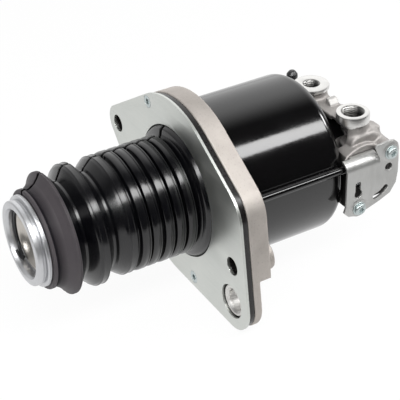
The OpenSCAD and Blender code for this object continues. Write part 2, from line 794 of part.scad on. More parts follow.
// Spring that returns the relay piston
module relay_spring() {
    color("#9b9ea3") translate([port_x, piston_top_y, relay_z]) rotate([0, 0, 90])
        coil_x(0.05, relay_wide_y - piston_top_y - 0.1, 6.6, 0.45, 3, 20, 6);
}

// Poppet that lets air past the seat
module inlet_valve() {
    seat_y = relay_wide_y + seat_t + seat_lip + 0.02;
    color("#2c2c2f") translate([port_x, 0, relay_z]) union() {
        bar_y(seat_y, seat_y + valve_disc_t, valve_disc_r);
        bar_y(seat_y + valve_disc_t, cap_inner_y - 0.6, valve_stem_r);
    }
}

// Spring that closes the inlet valve
module inlet_spring() {
    disc_y = relay_wide_y + seat_t + seat_lip + valve_disc_t + 0.1;
    color("#9b9ea3") translate([port_x, disc_y, relay_z]) rotate([0, 0, 90])
        coil_x(0, cap_inner_y - disc_y - 0.1, 6.9, 0.4, 3, 20, 6);
}

// Bracket's flat face in X and Z from the relay valve's axis, from the rolled edge round to the tab
bracket_points = [
    [20.7, 8], [20.7, -16.5], [22.2, -21.2], [18.4, -25.2], [11, -27], [3.5, -24.4],
    [-7, -21.2], [-16.8, -17.2], [-21.6, -10], [-22.9, -1], [-22.6, 20], [-20.6, 25.2],
    [-15.8, 27.8], [-10.6, 27.2], [-8.4, 23], [-6.6, 14]
];
bracket_face = [for (p = bracket_points) [port_x + p[0], relay_z + p[1]]];
roll_r = pipe_boss_r + bracket_t + 0.8;
roll_z = pipe_z - 0.3;
roll_end_x = bracket_face[0][0];
roll_start_x = bracket_face[len(bracket_face) - 1][0];
roll_y = bracket_y + bracket_t - roll_r;
roll_lip = roll_y - relay_end_y - 0.3;
washer_y = bracket_y + bracket_t + 0.4;
washer_t = 0.8;

// Sheet bracket with a rolled upper edge over the vent pipe
module bracket() {
    color("#b9bab9") difference() {
        union() {
            translate([0, bracket_y + bracket_t, 0]) rotate([90, 0, 0]) linear_extrude(height = bracket_t)
                polygon(concat(bracket_face, [[roll_start_x, roll_z], [roll_end_x, roll_z]]));
            rolled_edge();
            at_bracket_screws() bar_y(bracket_y, washer_y, bracket_washer_r + 1.3);
        }
        at_bracket_screws() bar_y(bracket_y - 1, bracket_y + 4, 2.7);
        translate([port_x, 0, relay_z]) {
            translate([-14.1, 0, 5.5]) bar_y(bracket_y - 1, bracket_y + 3, 2);
            keyhole();
            curved_slot();
        }
    }
}

// Quarter roll along the bracket's upper edge, which runs a little into the flat face and the lip
module rolled_edge() {
    roll_len = roll_end_x - roll_start_x;
    run_in = 0.3;
    cut_r = roll_r + 1;
    translate([roll_start_x, roll_y, roll_z]) difference() {
        on_x() cylinder(h = roll_len, r = roll_r);
        translate([-1, 0, 0]) on_x() cylinder(h = roll_len + 2, r = roll_r - bracket_t);
        translate([-1, -cut_r, -cut_r]) cube([roll_len + 2, 2 * cut_r, cut_r - run_in]);
        translate([-1, -cut_r, -1]) cube([roll_len + 2, cut_r - run_in, cut_r + 1]);
    }
    translate([roll_start_x, roll_y - roll_lip, roll_z + roll_r - bracket_t])
        cube([can_rear_x - 1.5 - roll_start_x, roll_lip, bracket_t]);
}

// Keyhole in the bracket, from the relay valve's axis
module keyhole() {
    hole_x = 10.7;
    hole_z = -8.8;
    slot_x = hole_x + 0.4;
    slot_len = 7.8;
    slot_end_r = 1.7;
    translate([hole_x, 0, hole_z]) bar_y(bracket_y - 1, bracket_y + 3, 2.6);
    translate([slot_x, 0, hole_z + slot_len]) bar_y(bracket_y - 1, bracket_y + 3, slot_end_r);
    translate([slot_x - slot_end_r, bracket_y - 1, hole_z]) cube([2 * slot_end_r, 4, slot_len]);
}

// Curved adjusting slot in the bracket, round the relay valve's axis
module curved_slot() {
    slot_x = -0.5;
    slot_r = 16.3;
    slot_w = 3;
    slot_end_r = slot_w / 2 - 0.05;
    from_a = 222;
    to_a = 258;
    translate([slot_x, bracket_y + 3, 0]) rotate([90, 0, 0]) {
        linear_extrude(height = 4) intersection() {
            difference() {
                circle(r = slot_r + slot_w / 2);
                circle(r = slot_r - slot_w / 2);
            }
            polygon([[0, 0], [40 * cos(from_a), 40 * sin(from_a)], [40 * cos(to_a), 40 * sin(to_a)]]);
        }
        for (a = [from_a, to_a]) rotate([0, 0, a]) translate([slot_r, 0, 0]) cylinder(h = 4, r = slot_end_r);
    }
}

// Flat washers under the bracket screws
module bracket_washers() {
    color("#bfc6ca") at_bracket_screws() ring_y(washer_y, washer_y + washer_t, bracket_washer_r, 2.7);
}

// Screws that hold the bracket
module bracket_screws() {
    seat_y = washer_y + washer_t;
    color("#b4bcc2") at_bracket_screws() difference() {
        union() {
            bar_y(bracket_y - 11, seat_y + eps, 2.5);
            bar_y(seat_y, seat_y + bracket_head_h, bracket_head_r);
        }
        bar_y(seat_y + bracket_head_h / 2, seat_y + bracket_head_h + 1, 1.9);
    }
}

// Pipe that breathes the front of the air cylinder through the valve housing
module vent_pipe() {
    color("#0f0f10") at_yz(pipe_y, pipe_z)
        ring_x(pipe_rear_x + 0.5, pipe_socket_x - 0.5, pipe_r, pipe_r - 0.9);
}

// Ring seals at both ends of the vent pipe
module pipe_seals() {
    color("#1a1a1a") at_yz(pipe_y, pipe_z) union() {
        ring_x(pipe_seal_x, pipe_seal_x + pipe_seal_t, pipe_r + pipe_seal_w, pipe_r);
        ring_x(pipe_boss_x - 2.9, pipe_boss_x - 0.3, pipe_r + 0.95, pipe_r);
    }
}

// Hollow push tube with the inner seat of the plunger rod
module push_tube() {
    color("#a5a8ac") turned([
        [tube_in_r, tube_rear_x], [tube_r - 0.6, tube_rear_x], [tube_r, tube_rear_x + 0.6],
        [tube_r, tube_front_x - 0.6], [tube_r - 0.6, tube_front_x], [tube_in_r - 1, tube_front_x],
        [tube_in_r - 1, tube_web_x + tube_web_t], [0, tube_web_x + tube_web_t], [0, tube_web_x + 2],
        [rod_r + 0.02, tube_web_x + 2], [rod_r + 0.02, tube_web_x], [tube_in_r, tube_web_x]
    ]);
}

// Air piston with a dished web
module air_piston() {
    color("#b3b6ba") difference() {
        turned([
            [tube_r, hub_back_x], [tube_r + 7, hub_back_x], [tube_r + 9, piston_web_x - piston_web_t],
            [piston_rim_r - 8, piston_web_x - piston_web_t], [piston_rim_r - 6, piston_rear_x],
            [piston_rim_r - 0.6, piston_rear_x], [piston_rim_r, piston_rear_x + 0.6],
            [piston_rim_r, piston_front_x - 0.6], [piston_rim_r - 0.6, piston_front_x],
            [piston_rim_r - 5, piston_front_x], [piston_rim_r - 7, piston_web_x],
            [tube_r + 8, piston_web_x], [tube_r + 6, hub_front_x], [tube_r, hub_front_x]
        ]);
        ring_x(piston_rear_x + 2.5, piston_rear_x + 6, piston_rim_r + 1, piston_rim_r - 3);
        ring_x(piston_rear_x + 8.5, piston_rear_x + 11.5, piston_rim_r + 1, piston_rim_r - 1.6);
    }
}

// Lip seal of the air piston
module piston_seal() {
    color("#1a1a1a") ring_x(piston_rear_x + 2.5, piston_rear_x + 6, can_in_r - run_gap, piston_rim_r - 3);
}

// Wear band of the air piston
module piston_guide_ring() {
    color("#e4e0d4")
        ring_x(piston_rear_x + 8.5, piston_rear_x + 11.5, can_in_r - run_gap, piston_rim_r - 1.6);
}

// Ring nut that holds the air piston on the tube
module piston_nut() {
    color("#8d9095") difference() {
        bar_x(tube_rear_x + 1.5, hub_back_x, tube_r + 5.5);
        bar_x(tube_rear_x, 0, tube_r);
        for (a = [0 : 60 : 300]) rotate([a, 0, 0]) translate([tube_rear_x + 1, tube_r + 3.4, -2])
            cube([4, 4, 4]);
    }
}

// Piston of the hydraulic cylinder
module hydraulic_piston() {
    color("#b9bcc0") difference() {
        bar_x(hyd_crown_x, hyd_skirt_x, hyd_r - run_gap);
        ring_x(hyd_crown_x + 3, hyd_crown_x + 6.5, hyd_r + 1, hyd_r - 2.6);
        bar_x(hyd_skirt_x - 3, 0, rod_r);
    }
}

// Lip seal of the hydraulic piston
module hydraulic_seal() {
    color("#1a1a1a") ring_x(hyd_crown_x + 3, hyd_crown_x + 6.5, hyd_r - run_gap / 2, hyd_r - 2.6);
}

// Rod between the hydraulic piston and the push tube's seat
module plunger_rod() {
    color("#9ea1a5") turned([
        [0, hyd_skirt_x - 3], [rod_r - 1, hyd_skirt_x - 3], [rod_r, hyd_skirt_x - 2],
        [rod_r, tube_web_x + 1], [rod_r - 1, tube_web_x + 2], [0, tube_web_x + 2]
    ]);
}

// Machined ring at the rod's front end
module nose_ring() {
    color("#d5d6d8") turned([
        [tube_r, nose_hub_x], [cup_bore_r + 3.4, nose_hub_x], [cup_bore_r + 4, nose_hub_x + 0.6],
        [cup_bore_r + 4, nose_rear_x], [bead_seat_r - 1, nose_rear_x], [bead_seat_r, nose_rear_x + 1],
        [bead_seat_r, bead_front_x], [nose_collar_r - 0.6, bead_front_x],
        [nose_collar_r, bead_front_x + 0.6], [nose_collar_r, collar_front_x - 0.8],
        [nose_collar_r - 0.8, collar_front_x], [nose_groove_r, collar_front_x],
        [nose_groove_r, nose_front - nose_lip_len], [nose_lip_r, nose_front - nose_lip_len + 0.6],
        [nose_lip_r, nose_front - 1.2], [nose_lip_r - 1.2, nose_front], [nose_mouth_r + 1, nose_front],
        [nose_mouth_r, nose_front - 1], [nose_mouth_r, nose_front - 5], [cup_bore_r, nose_front - 6],
        [cup_bore_r, cup_rear_x], [tube_r, cup_rear_x]
    ]);
}

// Polished cup that takes the ball of the release lever
module ball_cup() {
    wall_x = cup_front_x - cup_taper_len;
    floor_x = wall_x - cup_wall_len;
    color("#dedfe1") difference() {
        turned([
            [0, cup_rear_x], [cup_r, cup_rear_x], [cup_r, cup_front_x - 1], [cup_r - 1, cup_front_x],
            [cup_r - 2, cup_front_x], [ball_r, wall_x], [ball_r, floor_x], [0, floor_x]
        ]);
        translate([floor_x, 0, 0]) sphere(r = ball_r - 0.4);
    }
}

// Rubber ring between the cup and the nose ring
module cup_seal() {
    color("#161617") ring_x(cup_rear_x + 3, cup_front_x - 2, cup_bore_r, cup_r);
}

// Spring wire that keeps the ball in its cup
module cup_clip() {
    clip_r = cup_bore_r - 0.85;
    color("#2a2b2d") translate([nose_front - 7.2, 0, 0]) difference() {
        on_x() rotate_extrude() translate([clip_r, 0]) circle(r = 0.8, $fn = 24);
        translate([-2, -3.5, 0]) cube([4, 7, clip_r + 4]);
    }
}

// Stations and radii of the bellows' crests and valleys, in a bellows of the list's own length
fold_list_len = 103.3;
fold_stretch = bead_rear_x / fold_list_len;
fold_list = [
    [93.1, fold_r + 0.1], [84.6, deep_valley_r], [74.5, fold_r + 0.3], [65.2, deep_valley_r + 1],
    [54, fold_r - 0.5], [49.2, shallow_valley_r], [44.8, fold_r - 0.2], [40.8, shallow_valley_r],
    [36.7, fold_r - 0.3], [32.1, shallow_valley_r], [27.4, fold_r - 0.1], [23.2, shallow_valley_r],
    [19, fold_r - 0.1], [14.6, shallow_valley_r], [10.2, fold_r - 0.1], [6.2, shallow_valley_r + 0.4]
];
fold_points = [for (p = fold_list) [p[0] * fold_stretch, p[1]]];

// Cosine-blended radius between two neighbours of the fold list
function fold_segment(a, b, steps) = [
    for (i = [0 : steps - 1])
        let (t = i / steps, w = (1 - cos(180 * t)) / 2)
            [a[0] + (b[0] - a[0]) * t, a[1] + (b[1] - a[1]) * w]
];

fold_steps = 5;
boot_line = concat(
    [[bead_rear_x - 1.2, bead_seat_r + rubber_t + 0.35]],
    [for (i = [0 : len(fold_points) - 2]) each fold_segment(fold_points[i], fold_points[i + 1], fold_steps)],
    [fold_points[len(fold_points) - 1], [3, cuff_out_r], [0, cuff_out_r]]
);
boot_rear_x = flange_x + 0.3;

// Rubber bellows between the spigot and the nose ring
module boot() {
    bead_gap = 0.3;
    outer = [for (p = boot_line) [p[1], p[0]]];
    inner = [for (i = [len(boot_line) - 1 : -1 : 0]) [boot_line[i][1] - rubber_t, boot_line[i][0]]];
    color("#1c1b1d") turned(concat(
        [[bead_seat_r + bead_gap, bead_front_x - bead_gap], [bead_r - 0.8, bead_front_x - bead_gap],
         [bead_r, bead_front_x - 1.2], [bead_r, bead_rear_x + 1], [bead_r - 1, bead_rear_x]],
        outer,
        [[cuff_out_r, flange_x + 2.6], [band_seat_r, flange_x + 2.6], [band_seat_r, boot_rear_x],
         [boot_in_r, boot_rear_x], [boot_in_r, 0]],
        inner,
        [[bead_seat_r + bead_gap, bead_rear_x - 0.6]]
    ));
}

// Spring that returns the air piston
module return_spring() {
    color("#8c8f94")
        coil_x(piston_web_x + 0.1, pocket_x - piston_web_x - 0.2, return_coil_r, spring_wire_r, 5, 24, 8);
}

// Bleed screw with its hexagon and nipple
module bleed_screw() {
    color("#b8a878") translate([bleed_x, bleed_y, 0]) difference() {
        union() {
            translate([0, 0, 14]) cylinder(h = bleed_seat_z - 14, r = 3.95);
            translate([0, 0, bleed_seat_z]) cylinder(h = 5, r = 5.4, $fn = 6);
            translate([0, 0, bleed_seat_z + 5]) cylinder(h = 7, r = 2.6);
        }
        translate([0, 0, 16]) cylinder(h = 40, r = 1);
    }
}

// Rubber cap over the bleed nipple
module bleed_cap() {
    base_z = bleed_seat_z + 5.3;
    color("#19191a") translate([bleed_x, bleed_y, 0]) difference() {
        union() {
            translate([0, 0, base_z]) cylinder(h = 4.4, r = 3.6);
            translate([0, 0, base_z + 6]) sphere(r = 4.2);
        }
        translate([0, 0, base_z - 1]) cylinder(h = 8, r = 2.66);
        translate([0, 0, base_z - 3]) cylinder(h = 3, r = 6);
    }
}

cover_plate();
packing_sheet();
front_flange();
cover_screws();
locating_sleeve();
air_cylinder();
cylinder_seal();
cylinder_screws();
guide_bush();
rod_wiper();
boot_band();
valve_housing();
hydraulic_sleeve();
sleeve_seal();
relay_cap();
relay_cap_seal();
relay_cap_ring();
inlet_seat();
inlet_seat_seal();
bracket();
bracket_washers();
bracket_screws();
vent_pipe();
pipe_seals();
push_tube();
air_piston();
piston_seal();
piston_guide_ring();
piston_nut();
hydraulic_piston();
hydraulic_seal();
plunger_rod();
nose_ring();
ball_cup();
cup_seal();
cup_clip();
boot();
return_spring();
relay_piston();
relay_piston_seal();
relay_spring();
inlet_valve();
inlet_spring();
bleed_screw();
bleed_cap();
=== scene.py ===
"""Looks of the clutch actuator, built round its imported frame.

Shapes are written in millimetres, and each mesh is scaled to metres when it is made.
X runs along the rod towards its nose, Y towards the relay valve, and Z towards the ports."""

import cmath
import json
import math
from collections import namedtuple

import bmesh
import bpy
import numpy as np
from mathutils import Matrix, Vector


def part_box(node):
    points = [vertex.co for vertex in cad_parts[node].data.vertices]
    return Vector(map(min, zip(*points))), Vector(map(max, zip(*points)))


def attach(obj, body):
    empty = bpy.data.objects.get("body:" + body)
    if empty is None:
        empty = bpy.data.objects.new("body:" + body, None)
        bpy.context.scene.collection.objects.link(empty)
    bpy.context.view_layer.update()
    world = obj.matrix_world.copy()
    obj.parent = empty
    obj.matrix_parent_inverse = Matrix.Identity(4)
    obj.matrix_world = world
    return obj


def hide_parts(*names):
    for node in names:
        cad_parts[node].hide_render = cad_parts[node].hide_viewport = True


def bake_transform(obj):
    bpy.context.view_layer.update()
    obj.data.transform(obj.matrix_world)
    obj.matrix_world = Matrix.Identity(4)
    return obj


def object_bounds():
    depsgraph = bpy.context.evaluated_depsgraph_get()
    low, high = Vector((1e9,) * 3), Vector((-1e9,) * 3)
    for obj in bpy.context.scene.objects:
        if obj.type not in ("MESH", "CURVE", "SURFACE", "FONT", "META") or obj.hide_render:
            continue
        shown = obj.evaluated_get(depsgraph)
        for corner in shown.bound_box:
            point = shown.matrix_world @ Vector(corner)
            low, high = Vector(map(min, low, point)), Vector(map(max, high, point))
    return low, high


MM = 0.001
# Longer than any distance in the part
FAR = 1e3
WHITE = (1, 1, 1)
AXIS = (0, 0)

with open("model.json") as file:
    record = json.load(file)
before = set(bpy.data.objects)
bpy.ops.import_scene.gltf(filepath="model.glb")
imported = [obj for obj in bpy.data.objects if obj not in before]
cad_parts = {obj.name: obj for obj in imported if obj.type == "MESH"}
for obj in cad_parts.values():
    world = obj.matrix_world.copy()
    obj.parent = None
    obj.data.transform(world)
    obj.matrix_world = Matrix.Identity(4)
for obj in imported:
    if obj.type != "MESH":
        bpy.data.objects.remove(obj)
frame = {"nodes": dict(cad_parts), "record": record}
cad_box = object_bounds()

# Stations and radii on the rod's axis, as in the part's source
PLATE_T = 2.0
PACKING_T = 4.5
FLANGE_X = -PLATE_T - PACKING_T
FLANGE_BACK_X = FLANGE_X - 14.5
CAN_R = 57.7
CAN_WALL = 1.5
CAN_REAR_X = -103.0
NECK_R = 36.0
NECK_REAR_X = -108.0
NECK_BORE_R = 16.1
HUB_REAR_X = -148.0
TUBE_R = 19.0
BUSH_R = 23.0
NOSE_X = 117.1
NOSE_R = 31.6
CUP_X = 108.1
CUP_REAR_X = 84.1

# Round parts of the outline that plate, packing and casting share: place across, height and radius
OUTLINE = [(-2.0, 0.0, 69.0), (-85.6, 12.3, 13.5), (59.4, 14.7, 25.0), (71.6, -49.1, 20.5)]
BOLTS = [(-85.6, 12.3), (73.1, -18.9)]
BOLT_HOLE_R = 6.5
BOLT_BOSS_R = 11
SLEEVE = (71.6, -49.1)
SLEEVE_R = 10.0
SLEEVE_BORE_R = 8.0
SLEEVE_WINDOW_R = 12.3
COVER_SCREWS = [(64.6 * math.cos(math.radians(a)), 64.6 * math.sin(math.radians(a))) for a in (124, -71.5)]
PLATE_BORE_R = 48.0
PACKING_BORE_R = 42.9

# Rear end: the ports' plane, the relay valve beside it, and the ports with their rings and threads
PORT_X = -118.0
RELAY_Z = 4.0
RELAY_START_Y = 14
RELAY_FACE_Y = 52
Port = namedtuple("Port", "y z core_r thread_r chamfer ring_r ring_h depth")
AIR_PORT = Port(y=41.0, z=46.0, core_r=7.25, thread_r=8.1, chamfer=0.9, ring_r=11.7, ring_h=7.0, depth=9.0)
HYD_PORT = Port(y=-9.0, z=45.0, core_r=5.25, thread_r=6.1, chamfer=0.8, ring_r=13.0, ring_h=3.0, depth=16.0)
PORTS = (AIR_PORT, HYD_PORT)
PORT_STEP = 1.4
THREAD_WALL = 0.6
PITCH = 1.5
WEB_Z = 37.0
HOUSING_FLANGE_R = 34
HOUSING_FLANGE_X = NECK_REAR_X - 14
# Milled pad between the ports: its rear and right side, and its size
PAD_X, PAD_L = PORT_X - 7.4, 7.4
PAD_Y, PAD_W = HYD_PORT.y + 18, 6.2
BLEED = (-117.0, -32.0)
PIPE = (59.02, 14.6)
PIPE_R = 2.8
PIPE_BORE_R = 2.0
PIPE_HOLE_R = 2.95
BRACKET_Y = 63.5
BRACKET_T = 2.0
BRACKET_SCREWS = [(PORT_X - 15.2, RELAY_Z + 16.8), (PORT_X + 10, RELAY_Z - 20.6)]
SCREW_HOLE_R = 2.7
WASHER_T = 0.8
HEAD_H = 2.2

# Bellows: each crest's station, radius and half width, and the next valley's station and radius
CRESTS = [
    (93.1, 42.5, 0.9, 84.6, 33.6), (74.5, 42.7, 2.2, 65.2, 34.6), (54.0, 41.9, 2.2, 49.2, 38.2),
    (44.8, 42.2, 2.4, 40.8, 38.2), (36.7, 42.1, 2.4, 32.1, 38.2), (27.4, 42.3, 2.4, 23.2, 38.2),
    (19.0, 42.3, 2.4, 14.6, 38.2), (10.2, 42.3, 2.4, 6.2, 38.6),
]
WIDE_FOLDS = 3
BEAD_FRONT_X, BEAD_REAR_X = 108.3, 103.3
BEAD_SEAT_R = 29.2
BEAD_R = 34.5
CUFF_R, CUFF_BORE_R = 42.1, 37.55
RUBBER_T = 1.8
SEAM_ANGLE = math.radians(107)
REST_STATION = "rest_station"


def even_angles(count):
    """Angles spaced evenly round a circle."""
    return np.arange(count) * 2 * math.pi / count


def seamed_angles(count):
    """Even angles, with more of them at the two mould seams."""
    near = np.radians([-3.4, -2.6, -1.9, -1.3, 0, 1.3, 1.9, 2.6, 3.4])
    extra = np.concatenate([SEAM_ANGLE + near, SEAM_ANGLE + math.pi + near])
    even = even_angles(count)
    gaps = np.abs((even[:, None] - extra + math.pi) % (2 * math.pi) - math.pi)
    kept = even[gaps.min(axis=1) > math.radians(0.8)]
    return np.sort(np.concatenate([kept, extra]) % (2 * math.pi))


def softened(points, steps=4):
    """A closed profile with its corners rounded.
    A point is (along, radius) or (along, radius, corner radius)."""
    result = []
    places = [complex(*point[:2]) for point in points]
    for i, (here, point) in enumerate(zip(places, points)):
        if len(point) < 3 or here.imag < 1e-6:
            result.append((here.real, here.imag))
            continue
        before, after = places[i - 1] - here, places[(i + 1) % len(places)] - here
        half = abs(cmath.phase(after / before)) / 2
        reach = min(point[2] / math.tan(half), 0.48 * abs(before), 0.48 * abs(after))
        start, end = before / abs(before) * reach, after / abs(after) * reach
        centre = (start + end) / 2 / math.cos(half) ** 2
        turn = cmath.phase((end - centre) / (start - centre))
        for k in range(steps + 1):
            spot = here + centre + (start - centre) * cmath.rect(1, turn * k / steps)
            result.append((spot.real, spot.imag))
    return result


def placed(along, across, up, axis, centre):
    """Points whose local axis runs along X, Y or Z through a centre."""
    order = {"x": (along, across, up), "y": (across, along, up), "z": (across, up, along)}[axis]
    return np.stack(order, axis=-1) + np.array(centre, float)


def loft(rings, angles, axis="x", centre=(0, 0, 0)):
    """Closed surface of rings round an axis. A ring is (along, radius), and a radius may differ by angle.
    A ring of radius zero is a pole, and a surface without poles closes from its last ring to its first."""
    points, rows, faces = [], [], []
    count = len(angles)
    for along, radius in rings:
        radii = np.broadcast_to(np.asarray(radius, float), (count,))
        if radii.max() < 1e-6:
            rows.append([len(points)] * count)
            points.append((along, 0.0, 0.0))
        else:
            rows.append(list(range(len(points), len(points) + count)))
            points.extend(zip([along] * count, radii * np.cos(angles), radii * np.sin(angles)))
    for first, second in zip(rows, rows[1:] + rows[:1]):
        for k in range(count):
            n = (k + 1) % count
            face = tuple(dict.fromkeys((first[k], first[n], second[n], second[k])))
            if len(face) > 2:
                faces.append(face)
    return placed(*np.array(points).T, axis, centre), faces


def tube(path, radius, sides):
    """Round wire of one radius along a path of points, with flat ends."""
    path = np.array(path, float)
    tangents = np.gradient(path, axis=0)
    tangents /= np.linalg.norm(tangents, axis=1)[:, None]
    side = np.cross(tangents[0], (0, 0, 1) if abs(tangents[0][2]) < 0.9 else (0, 1, 0))
    points, faces = [], []
    for centre, tangent in zip(path, tangents):
        side = side - tangent * (side @ tangent)
        side /= np.linalg.norm(side)
        other = np.cross(tangent, side)
        points += [centre + radius * (math.cos(a) * side + math.sin(a) * other) for a in even_angles(sides)]
    last = len(points) - sides
    for i in range(0, last, sides):
        for k in range(sides):
            n = (k + 1) % sides
            faces.append((i + k, i + n, i + sides + n, i + sides + k))
    faces.append(tuple(range(sides))[::-1])
    faces.append(tuple(range(last, last + sides)))
    return np.array(points), faces


def turn_of(a, b, c):
    """Twice the area of a triangle, more than zero where it turns left."""
    return (b[0] - a[0]) * (c[1] - a[1]) - (b[1] - a[1]) * (c[0] - a[0])


def hull_outline(circles, shrink=0.0, per_circle=120):
    """Points round the convex outline of circles, anticlockwise. A circle is two places and a radius."""
    cloud = []
    for u, v, r in circles:
        for a in even_angles(per_circle):
            cloud.append((u + (r - shrink) * math.cos(a), v + (r - shrink) * math.sin(a)))
    cloud = sorted(set(cloud))

    def half(points):
        chain = []
        for p in points:
            while len(chain) > 1 and turn_of(chain[-2], chain[-1], p) <= 1e-9:
                chain.pop()
            chain.append(p)
        return chain[:-1]

    return half(cloud) + half(cloud[::-1])


class Field:
    """Signed distances in millimetres on a grid of points, less than zero inside the solid."""

    REACH = 3

    def __init__(self, low, high, step):
        self.low = np.array(low, float)
        self.step = step
        self.axes = [np.arange(a, b + step, step) for a, b in zip(low, high)]
        self.value = np.full([len(a) for a in self.axes], FAR, np.float32)

    def window(self, low, high, margin):
        """The part of the grid in a shape's reach, and its coordinates."""
        spans = []
        for axis, a, b in zip(self.axes, low, high):
            first = int(np.searchsorted(axis, a - margin))
            last = int(np.searchsorted(axis, b + margin)) + 1
            spans.append(slice(max(first - 1, 0), min(last, len(axis))))
        grid = np.meshgrid(*[axis[s] for axis, s in zip(self.axes, spans)], indexing="ij", sparse=True)
        return tuple(spans), grid

    def merge(self, shape, width, sign):
        """Joins a shape on with sign one, and takes it out with minus one."""
        distance, low, high = shape
        spans, grid = self.window(low, high, width + self.REACH)
        self.value[spans] = sign * smooth_least(sign * self.value[spans], distance(*grid), width)

    def add(self, shape, fillet=0.0):
        """Joins a shape on, with a fillet in the corner."""
        self.merge(shape, fillet, 1)

    def cut(self, shape, edge=0.0):
        """Takes a shape out, with a rounded edge."""
        self.merge(shape, edge, -1)

    def mesh(self):
        """Quads of the surface. A cell that it crosses holds one point, at the mean of its crossings."""
        value = self.value
        inside = value < 0
        corners = [(i, j, k) for i in (0, 1) for j in (0, 1) for k in (0, 1)]
        shape = tuple(n - 1 for n in value.shape)
        total = np.zeros(shape, np.uint8)
        for c in corners:
            total += inside[tuple(slice(o, o + n) for o, n in zip(c, shape))]
        mixed = (total > 0) & (total < 8)
        cells = np.argwhere(mixed)
        at = {c: value[tuple((cells + c).T)] for c in corners}
        place = np.zeros((len(cells), 3))
        crossings = np.zeros(len(cells))
        for a in corners:
            for axis in range(3):
                if a[axis]:
                    continue
                b = tuple(1 if n == axis else a[n] for n in range(3))
                crossed = (at[a] < 0) != (at[b] < 0)
                share = at[a] / np.where(crossed, at[a] - at[b], 1)
                point = np.array(a, float) + np.outer(share, np.eye(3)[axis])
                place += np.where(crossed[:, None], point, 0)
                crossings += crossed
        place /= crossings[:, None]
        points = self.low + (cells + place) * self.step
        index = np.full(shape, -1, np.int64)
        index[mixed] = np.arange(len(cells))
        faces = []
        for axis in range(3):
            u, v = (axis + 1) % 3, (axis + 2) % 3
            edges = np.argwhere(np.diff(inside, axis=axis))
            edges = edges[(edges[:, u] > 0) & (edges[:, v] > 0)]
            edges = edges[(edges[:, u] < shape[u]) & (edges[:, v] < shape[v])]
            step_u, step_v = np.eye(3, dtype=int)[u], np.eye(3, dtype=int)[v]
            quad = [index[tuple((edges - d).T)] for d in (step_u + step_v, step_v, 0 * step_u, step_u)]
            quad = np.stack(quad, axis=1)
            outward = inside[tuple(edges.T)]
            quad[~outward] = quad[~outward][:, ::-1]
            faces.append(quad)
        return points, np.concatenate(faces).tolist()


def smooth_least(a, b, k):
    """Lesser of two distances, blended over a width k."""
    if k <= 0:
        return np.minimum(a, b)
    h = np.maximum(k - np.abs(a - b), 0) / k
    return np.minimum(a, b) - h * h * k / 4


def edged(across, along, edge):
    """Distance to a solid whose section distance and length distance are known, with its edges rounded."""
    across, along = across + edge, along + edge
    outside = np.hypot(np.maximum(across, 0), np.maximum(along, 0))
    return np.minimum(np.maximum(across, along), 0) + outside - edge


def along_axis(axis, start, end):
    """Numbers of an axis and the other two, and a stretch's middle and half length."""
    n = "xyz".index(axis)
    order = (n, *[i for i in range(3) if i != n])
    return order, (start + end) / 2, abs(end - start) / 2


def corner(order, values):
    """A corner as X, Y, Z, from values in another order."""
    return np.array(values, float)[np.argsort(order)]


def bar(axis, start, end, centre, radius, edge=0.0):
    """Round bar along an axis. The centre gives its other two places in the order X, Y, Z."""
    order, middle, half = along_axis(axis, start, end)
    n, u, v = order

    def distance(*grid):
        across = np.hypot(grid[u] - centre[0], grid[v] - centre[1]) - radius
        return edged(across, np.abs(grid[n] - middle) - half, edge)

    low = corner(order, (middle - half, centre[0] - radius, centre[1] - radius))
    high = corner(order, (middle + half, centre[0] + radius, centre[1] + radius))
    return distance, low, high


def without(shape, *others):
    """A shape less some others."""
    base, low, high = shape

    def distance(*grid):
        result = base(*grid)
        for other, _, _ in others:
            result = np.maximum(result, -other(*grid))
        return result

    return distance, low, high


def ring(axis, start, end, centre, outer, inner):
    """Ring along an axis, with sharp edges."""
    return without(bar(axis, start, end, centre, outer), bar(axis, start - 1, end + 1, centre, inner))


def block(low, high, edge=0.0):
    """Box with rounded edges, between two corners."""
    low, high = np.array(low, float), np.array(high, float)
    middle, half = (low + high) / 2, (high - low) / 2 - edge

    def distance(*grid):
        gaps = [np.abs(g - m) - h for g, m, h in zip(grid, middle, half)]
        outside = np.sqrt(sum(np.maximum(g, 0) ** 2 for g in gaps))
        return np.minimum(np.maximum(np.maximum(gaps[0], gaps[1]), gaps[2]), 0) + outside - edge

    return distance, low, high


def slab(axis, start, end, outline, edge=0.0):
    """Solid along an axis, with a convex outline drawn in the other two."""
    order, middle, half = along_axis(axis, start, end)
    n, u, v = order
    points = np.array(outline, float)
    sides = np.roll(points, -1, 0) - points
    keep = np.linalg.norm(sides, axis=1) > 1e-4
    points, sides = points[keep], sides[keep]
    normals = np.stack([sides[:, 1], -sides[:, 0]], 1) / np.linalg.norm(sides, axis=1)[:, None]
    offsets = (normals * points).sum(1)

    def distance(*grid):
        across = -FAR
        for (a, b), c in zip(normals, offsets):
            across = np.maximum(across, a * grid[u] + b * grid[v] - c)
        return edged(across, np.abs(grid[n] - middle) - half, edge)

    low = corner(order, (middle - half, *points.min(axis=0)))
    high = corner(order, (middle + half, *points.max(axis=0)))
    return distance, low, high


def polygon_section(points):
    """Distance in two axes to a polygon of any shape, less than zero inside."""
    points = np.array(points, float)
    ahead = np.roll(points, -1, 0)

    def distance(u, v):
        best = np.full(np.broadcast(u, v).shape, FAR)
        inside = np.zeros(best.shape, bool)
        for (au, av), (bu, bv) in zip(points, ahead):
            eu, ev = bu - au, bv - av
            share = np.clip(((u - au) * eu + (v - av) * ev) / (eu * eu + ev * ev), 0, 1)
            best = np.minimum(best, np.hypot(u - au - share * eu, v - av - share * ev))
            crosses = (av > v) != (bv > v)
            inside ^= crosses & (u < au + (v - av) * eu / (ev if abs(ev) > 1e-9 else 1e-9))
        return np.where(inside, -best, best)

    return distance


